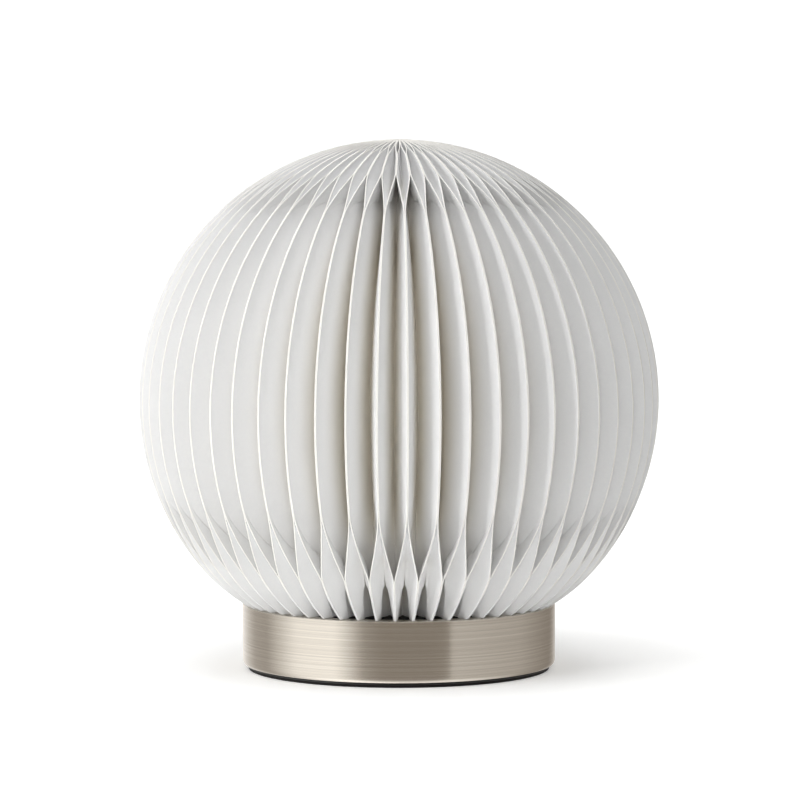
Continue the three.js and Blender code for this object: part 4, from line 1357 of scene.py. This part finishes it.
    def contacts(self) -> None:
        """Builds the threaded sleeve and the centre contact."""
        low, high = (corner[2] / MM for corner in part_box("lampholder_sleeve"))
        outer = self.sleeve_radius + self.sleeve_wall
        depth = self.sleeve_wall - self.sleeve_root
        step = self.sleeve_pitch / 8
        outline = [*wall(outer, low, high, step), *wall(self.sleeve_radius + depth, high, low, step)]
        start, end = low + self.sleeve_margin, high - self.sleeve_margin
        thread = helix(self.sleeve_pitch, depth, start, end, 0, self.sleeve_run_out)
        piece = turned("holder_sleeve", outline, Sides.NUT, thread)
        self.fit(piece, "brass", "brass", ["lampholder_sleeve"])
        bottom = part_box("centre_contact")[0][2] / MM
        contact = [
            (0, 0),
            (self.contact_radius, 0, 0.2),
            (self.contact_radius, self.contact_height - self.contact_shoulder, 0.4),
            (self.contact_radius / 2, self.contact_height, 0.6),
            (0, self.contact_height),
        ]
        piece = turned("holder_contact", lifted(contact, bottom), Sides.SMALL)
        self.fit(piece, "brass", "brass", ["centre_contact"])

    def build(self) -> None:
        """Builds the stem and the lampholder."""
        self.stem()
        self.cap()
        self.shell()
        self.insert()
        self.contacts()


# Bulb


@dataclass
class GlobeBulb(SubAssembly):
    """The screw-in globe bulb."""

    body: str = field(default="bulb", kw_only=True)
    cap_radius: float = 13.1
    cap_wall: float = 0.7
    cap_slope: float = 4.0
    cap_end_radius: float = 7.0
    cap_height: float = 24.0
    thread_pitch: float = 3.6
    thread_depth: float = 0.8
    thread_run_out: float = 1.8
    thread_margin_low: float = 0.5
    thread_margin_high: float = 2.5
    tip_radius: float = 4.5
    tip_height: float = 2.0
    body_height: float = 30.0
    body_top: float = 26.0
    wall: float = 1.4
    board_thickness: float = 1.6
    globe_radius: float = 30.0
    globe_steps: int = 48
    flare_steps: int = 24
    flare_lean: float = 0.45
    gap: float = 0.1

    def cap(self) -> None:
        """Builds the screw cap and its contact."""
        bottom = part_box("bulb_tip")[0][2] / MM
        tip = [
            (0, 0),
            (self.tip_radius * 0.55, 0, 0.5),
            (self.tip_radius, self.tip_height * 0.7, 0.5),
            (self.tip_radius, self.tip_height),
            (0, self.tip_height),
        ]
        self.fit(turned("bulb_contact", lifted(tip, bottom), Sides.SMALL), "brass", "brass", ["bulb_tip"])
        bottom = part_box("bulb_cap")[0][2] / MM
        inner = self.cap_radius - self.cap_wall - self.thread_depth
        cap = [
            (0, self.cap_wall),
            (0, 0),
            (self.cap_end_radius, 0, 0.4),
            (self.cap_radius, self.cap_slope, 0.8),
            *wall(self.cap_radius, self.cap_slope + 0.8, self.cap_height, 0.4),
            (inner, self.cap_height),
            (inner, self.cap_slope + 1.0),
            (self.cap_end_radius - self.cap_wall, self.cap_wall),
        ]
        low = bottom + self.cap_slope - self.thread_margin_low
        high = bottom + self.cap_height - self.thread_margin_high
        crest = self.cap_radius - 0.5
        thread = helix(self.thread_pitch, self.thread_depth, low, high, crest, self.thread_run_out)
        piece = turned("bulb_screw_cap", lifted(cap, bottom), Sides.CUP, thread)
        self.fit(piece, "bulb_cap", "bulb_cap", ["bulb_cap"])

    def housing(self) -> None:
        """Builds the flared housing."""
        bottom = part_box("bulb_body")[0][2] / MM
        foot, top = self.cap_radius + self.wall / 2, self.body_top
        seat = self.body_height - self.board_thickness - self.gap
        # The flare starts steep at the cap and leans out towards the globe
        flare = []
        for step in range(1, self.flare_steps):
            share = step / self.flare_steps
            lean = (1 - self.flare_lean) * share + self.flare_lean * share**2
            flare.append((foot + (top - foot) * lean, self.body_height * share))
        body = [
            (foot - self.wall, 0),
            (foot, 0, 0.3),
            *flare,
            (top, self.body_height, 0.3),
            (top - self.wall, self.body_height, 0.2),
            (top - self.wall, seat),
            (top - 3 * self.wall, seat),
            (top - 3 * self.wall, seat - self.wall),
        ]
        piece = turned("bulb_housing", lifted(body, bottom), Sides.CUP)
        self.fit(piece, "housing", "bulb_housing", ["bulb_body"])

    def globe(self) -> None:
        """Builds the opal globe."""
        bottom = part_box("bulb_globe")[0][2] / MM
        centre = bottom + math.sqrt(self.globe_radius**2 - self.body_top**2)
        # Up the outside, and down the inside of the wall
        outline = []
        up = range(self.globe_steps + 1)
        for radius, steps in ((self.globe_radius, up), (self.globe_radius - self.wall, reversed(up))):
            lowest = -math.asin((centre - bottom) / radius)
            for step in steps:
                angle = lowest + (math.pi / 2 - lowest) * step / self.globe_steps
                outline.append((max(radius * math.cos(angle), 0.0), centre + radius * math.sin(angle)))
        self.fit(turned("bulb_globe_cover", outline, Sides.CUP), "opal", "bulb_cover", ["bulb_globe"])

    def build(self) -> None:
        """Builds the bulb."""
        self.cap()
        self.housing()
        self.globe()


# Studio


def direction(azimuth: float, elevation: float) -> Vector:
    """The way from the lamp to a place round it.

    Args:
        azimuth: Degrees to the right of the camera's side.
        elevation: Degrees above the horizon.

    Returns:
        A unit vector.
    """
    turn, rise = math.radians(azimuth), math.radians(elevation)
    return Vector((math.sin(turn) * math.cos(rise), -math.cos(turn) * math.cos(rise), math.sin(rise)))


def ray_share(tree: bpy.types.NodeTree, *kinds: str) -> bpy.types.NodeSocket:
    """Tells the rays of some kinds from all others.

    Args:
        tree: A material's or the world's tree.
        kinds: Kinds of ray that Light Path knows, such as Camera.

    Returns:
        1 for a ray of these kinds, otherwise 0.
    """
    seen = add_node(tree, "ShaderNodeLightPath").outputs
    share = seen[f"Is {kinds[0]} Ray"]
    for kind in kinds[1:]:
        links = {0: share, 1: seen[f"Is {kind} Ray"]}
        share = add_node(tree, "ShaderNodeMath", links, operation="MAXIMUM").outputs[0]
    return share


@dataclass(frozen=True)
class Softbox:
    """One area light, aimed at the lamp. Metal sees the reflector cards in its place."""

    name: str
    azimuth: float
    elevation: float
    distance: float
    width: float
    height: float
    power: float

    def build(self, target: Vector) -> None:
        """Builds the light.

        Args:
            target: The point that it faces, in metres.
        """
        lamp = bpy.data.lights.new(self.name, "AREA")
        lamp.shape, lamp.size, lamp.size_y, lamp.energy = "RECTANGLE", self.width, self.height, self.power
        light = bpy.data.objects.new(self.name, lamp)
        bpy.context.scene.collection.objects.link(light)
        away = direction(self.azimuth, self.elevation)
        light.location = target + away * self.distance
        light.rotation_euler = away.to_track_quat("Z", "Y").to_euler()
        light.visible_glossy = False


@dataclass(frozen=True)
class ReflectorCard:
    """A card that stands round the lamp to be seen in the metal, and fades at its edges."""

    start: float
    end: float
    level_start: float
    level_end: float
    fade_start: float
    fade_end: float

    def edge(self, middle: float, fade: float) -> tuple[float, float]:
        """Where the brightness starts to change at an edge of the card, and where it ends.

        Args:
            middle: Azimuth of the edge.
            fade: Width over which the edge fades.

        Returns:
            Both azimuths in degrees.
        """
        return middle - fade / 2, middle + fade / 2


@dataclass
class Studio:
    """The white sweep that the lamp stands on, its lights, the cards for the metal, and the camera."""

    camera_distance: float = 2.625
    camera_elevation: float = 4.97
    camera_lens: float = 245.5
    camera_shift: tuple[float, float] = (0.0014, -0.0011)
    sensor_width: float = 36.0
    clip_end: float = 100.0
    target_height: float = 0.130
    all_bounces: int = 20
    diffuse_bounces: int = 14
    room_level: float = 0.04
    table_level: float = 0.19
    sweep_front: float = -12.0
    sweep_back: float = 8.0
    sweep_top: float = 12.5
    sweep_bend: float = 3.0
    sweep_side: float = 20.0
    bend_steps: int = 12
    sweep_colour: str = "#fafaf9"
    glow_start: float = 0.15
    glow_end: float = 0.48
    glow_level: float = 0.35
    softboxes: tuple[Softbox, ...] = (
        Softbox("left softbox", -64, 14, 2.0, 0.9, 0.9, 11.3),
        Softbox("left accent", -42, 15, 2.0, 0.3, 0.3, 8),
        Softbox("front accent", 0, 10, 2.0, 0.3, 0.3, 4.2),
        Softbox("overhead softbox", 0, 78, 2.0, 1.6, 1.6, 24.5),
        Softbox("rear softbox", 180, 60, 2.0, 1.6, 1.6, 8),
    )
    # The left softbox, the backdrop on both sides, and a grey card on the right with a hard front edge. What
    # stands between them is the unlit room behind the camera.
    cards: tuple[ReflectorCard, ...] = (
        ReflectorCard(-98, -38, 0.85, 0.95, 32, 22),
        ReflectorCard(-180, -20, 0.30, 0.10, 1, 16),
        ReflectorCard(-180, -150, 0.60, 0.60, 1, 36),
        ReflectorCard(38.5, 128, 0.37, 0.25, 1, 54),
        ReflectorCard(160, 180, 0.50, 0.50, 24, 1),
    )
    # The white floor close to the lamp, and the softbox over it, by the slope at which metal looks at them
    floor_edge: tuple[float, float] = (-0.6, -0.9)
    floor_level: float = 0.9
    overhead_edge: tuple[float, float] = (0.5, 0.8)
    overhead_level: float = 1.1
    card_colour: str = "#fafbfd"
    unlit_colour: str = "#8e857c"

    def camera(self) -> None:
        """Builds the camera at the photograph's viewing angle, far off with a long lens."""
        data = bpy.data.cameras.new("studio camera")
        data.lens, data.sensor_width = self.camera_lens, self.sensor_width
        data.shift_x, data.shift_y = self.camera_shift
        data.clip_end = self.clip_end
        camera = bpy.data.objects.new("studio camera", data)
        bpy.context.scene.collection.objects.link(camera)
        back = direction(0, self.camera_elevation)
        camera.location = Vector((0, 0, self.target_height)) + back * self.camera_distance
        camera.rotation_euler = (-back).to_track_quat("-Z", "Y").to_euler()
        bpy.context.scene.camera = camera

    def sweep(self) -> None:
        """Builds the floor, which curves up into the backdrop."""
        bend, flat_end = self.sweep_bend, self.sweep_back - self.sweep_bend
        line = [(self.sweep_front, 0.0), (flat_end, 0.0)]
        for step in range(1, self.bend_steps + 1):
            turn = math.pi / 2 * step / self.bend_steps
            line.append((flat_end + bend * math.sin(turn), bend - bend * math.cos(turn)))
        line.append((self.sweep_back, self.sweep_top))
        shape = bmesh.new()
        sides = (-self.sweep_side, self.sweep_side)
        rows = [[shape.verts.new((side, y, z)) for side in sides] for y, z in line]
        for low, high in zip(rows, rows[1:]):
            shape.faces.new((low[0], low[1], high[1], high[0]))
        mesh = bpy.data.meshes.new("studio_sweep")
        shape.to_mesh(mesh)
        shape.free()
        floor = new_object("studio_sweep", smoothed(mesh))
        floor.data.materials.append(self.sweep_material())
        # Metal sees the cards, also those that lie on the floor, in place of the empty floor
        floor.visible_glossy = False

    def sweep_material(self) -> bpy.types.Material:
        """The sweep's matt white paper, which shows white but for the lamp's shadow.

        Returns:
            The material.
        """
        material = bpy.data.materials.new("white background paper")
        material.use_nodes = True
        tree = material.node_tree
        tree.nodes.clear()
        place = add_node(tree, "ShaderNodeTexCoord").outputs["Object"]
        spread = add_node(tree, "ShaderNodeVectorMath", {0: place}, operation="LENGTH").outputs["Value"]
        # Near the lamp its own colour does most, and further off, where the light falls away, it is lifted to
        # white
        links = {"Value": spread, "From Min": self.glow_start, "From Max": self.glow_end}
        links.update({"To Min": self.glow_level, "To Max": 1.0})
        lift = add_node(tree, "ShaderNodeMapRange", links).outputs["Result"]
        paper = add_node(tree, "ShaderNodeBsdfDiffuse", {"Color": linear(self.sweep_colour)})
        glow = add_node(tree, "ShaderNodeEmission", {"Color": WHITE, "Strength": lift})
        shown = ray_share(tree, "Camera", "Glossy", "Transmission")
        lit = add_node(tree, "ShaderNodeAddShader", {0: paper.outputs[0], 1: glow.outputs[0]})
        # As on a light table, a little light from below fills the underside of the globe
        table = add_node(tree, "ShaderNodeEmission", {"Color": WHITE, "Strength": self.table_level})
        filled = add_node(tree, "ShaderNodeAddShader", {0: paper.outputs[0], 1: table.outputs[0]})
        mixed = add_node(tree, "ShaderNodeMixShader", {0: shown, 1: filled.outputs[0], 2: lit.outputs[0]})
        add_node(tree, "ShaderNodeOutputMaterial", {"Surface": mixed.outputs[0]})
        return material

    def card_level(self, tree: bpy.types.NodeTree) -> bpy.types.NodeSocket:
        """Adds up the brightness of the cards in each direction from the lamp.

        Args:
            tree: The world's tree.

        Returns:
            The brightness.
        """
        way = add_node(tree, "ShaderNodeTexCoord").outputs["Generated"]
        apart = add_node(tree, "ShaderNodeSeparateXYZ", {"Vector": way}).outputs
        known = {"x": apart["X"], "y": apart["Y"], "z": apart["Z"]}
        rows = [
            ("front", "MULTIPLY", "y", -1.0),
            ("turn", "ARCTAN2", "x", "front"),
            ("angle", "DEGREES", "turn"),
            ("floor", "RANGE", "z", *self.floor_edge, 0.0, self.floor_level),
            ("overhead", "RANGE", "z", *self.overhead_edge, 0.0, self.overhead_level),
            ("level", "ADD", "floor", "overhead"),
        ]
        # Each card adds its brightness between its two edges
        for card in self.cards:
            rows += [
                ("opening", "RANGE", "angle", *card.edge(card.start, card.fade_start), 0.0, 1.0),
                ("closing", "RANGE", "angle", *card.edge(card.end, card.fade_end), 1.0, 0.0),
                ("shade", "RANGE", "angle", card.start, card.end, card.level_start, card.level_end),
                ("open level", "MULTIPLY", "opening", "shade"),
                ("level", "MULTIPLY_ADD", "open level", "closing", "level"),
            ]
        add_values(tree, known, rows)
        return known["level"]

    def surroundings(self) -> None:
        """Fills the room: white where it is seen, the cards where metal sees it, and a plain soft light."""
        world = bpy.data.worlds.new("studio room")
        bpy.context.scene.world = world
        world.use_nodes = True
        tree = world.node_tree
        tree.nodes.clear()
        shown = ray_share(tree, "Camera", "Transmission")
        links = {"Value": shown, "To Min": self.room_level, "To Max": 1.0}
        strength = add_node(tree, "ShaderNodeMapRange", links).outputs[0]
        room = add_node(tree, "ShaderNodeBackground", {"Color": WHITE, "Strength": strength})
        links = {"Color": linear(self.card_colour), "Strength": self.card_level(tree)}
        lit = add_node(tree, "ShaderNodeBackground", links)
        unlit = add_node(tree, "ShaderNodeBackground", {"Color": linear(self.unlit_colour), "Strength": 1.0})
        cards = add_node(tree, "ShaderNodeAddShader", {0: lit.outputs[0], 1: unlit.outputs[0]})
        links = {0: ray_share(tree, "Glossy"), 1: room.outputs[0], 2: cards.outputs[0]}
        whole = add_node(tree, "ShaderNodeMixShader", links)
        add_node(tree, "ShaderNodeOutputWorld", {"Surface": whole.outputs[0]})

    def build(self) -> None:
        """Builds the studio."""
        scene = bpy.context.scene
        scene.view_settings.view_transform = "Standard"
        # Light goes back and forth many times between two leaves before it leaves their fold
        scene.cycles.max_bounces = self.all_bounces
        scene.cycles.diffuse_bounces = self.diffuse_bounces
        self.camera()
        self.sweep()
        self.surroundings()
        for softbox in self.softboxes:
            softbox.build(Vector((0, 0, self.target_height)))
        log.info("studio: %d softboxes and %d cards", len(self.softboxes), len(self.cards))


# CAD nodes whose shape is right as it is, and their finishes
CARRIED_FINISHES = {
    "base_weight": "iron",
    "terminal_block": "polyamide",
    "terminal_block_screw": "steel",
    "clamp_screw_live_in": "brass",
    "clamp_screw_live_out": "brass",
    "clamp_screw_neutral_in": "brass",
    "clamp_screw_neutral_out": "brass",
    "lead_live": "brown_pvc",
    "lead_neutral": "blue_pvc",
    "bulb_driver_board": "board",
    "bulb_led_board": "board",
}


def main() -> None:
    """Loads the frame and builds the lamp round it."""
    logging.basicConfig(level=logging.INFO, format="%(name)s: %(message)s")
    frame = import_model()
    wardrobe = Wardrobe(Finishes())
    Studio().build()
    for assembly in (DrumBase(wardrobe), Lampholder(wardrobe), GlobeBulb(wardrobe), PaperShade(wardrobe)):
        assembly.build()
    for name, finish in CARRIED_FINISHES.items():
        wardrobe.dress(frame["nodes"][name], finish)
        log.info("%s: carried over in %s", name, finish)


if __name__ == "__main__":
    main()
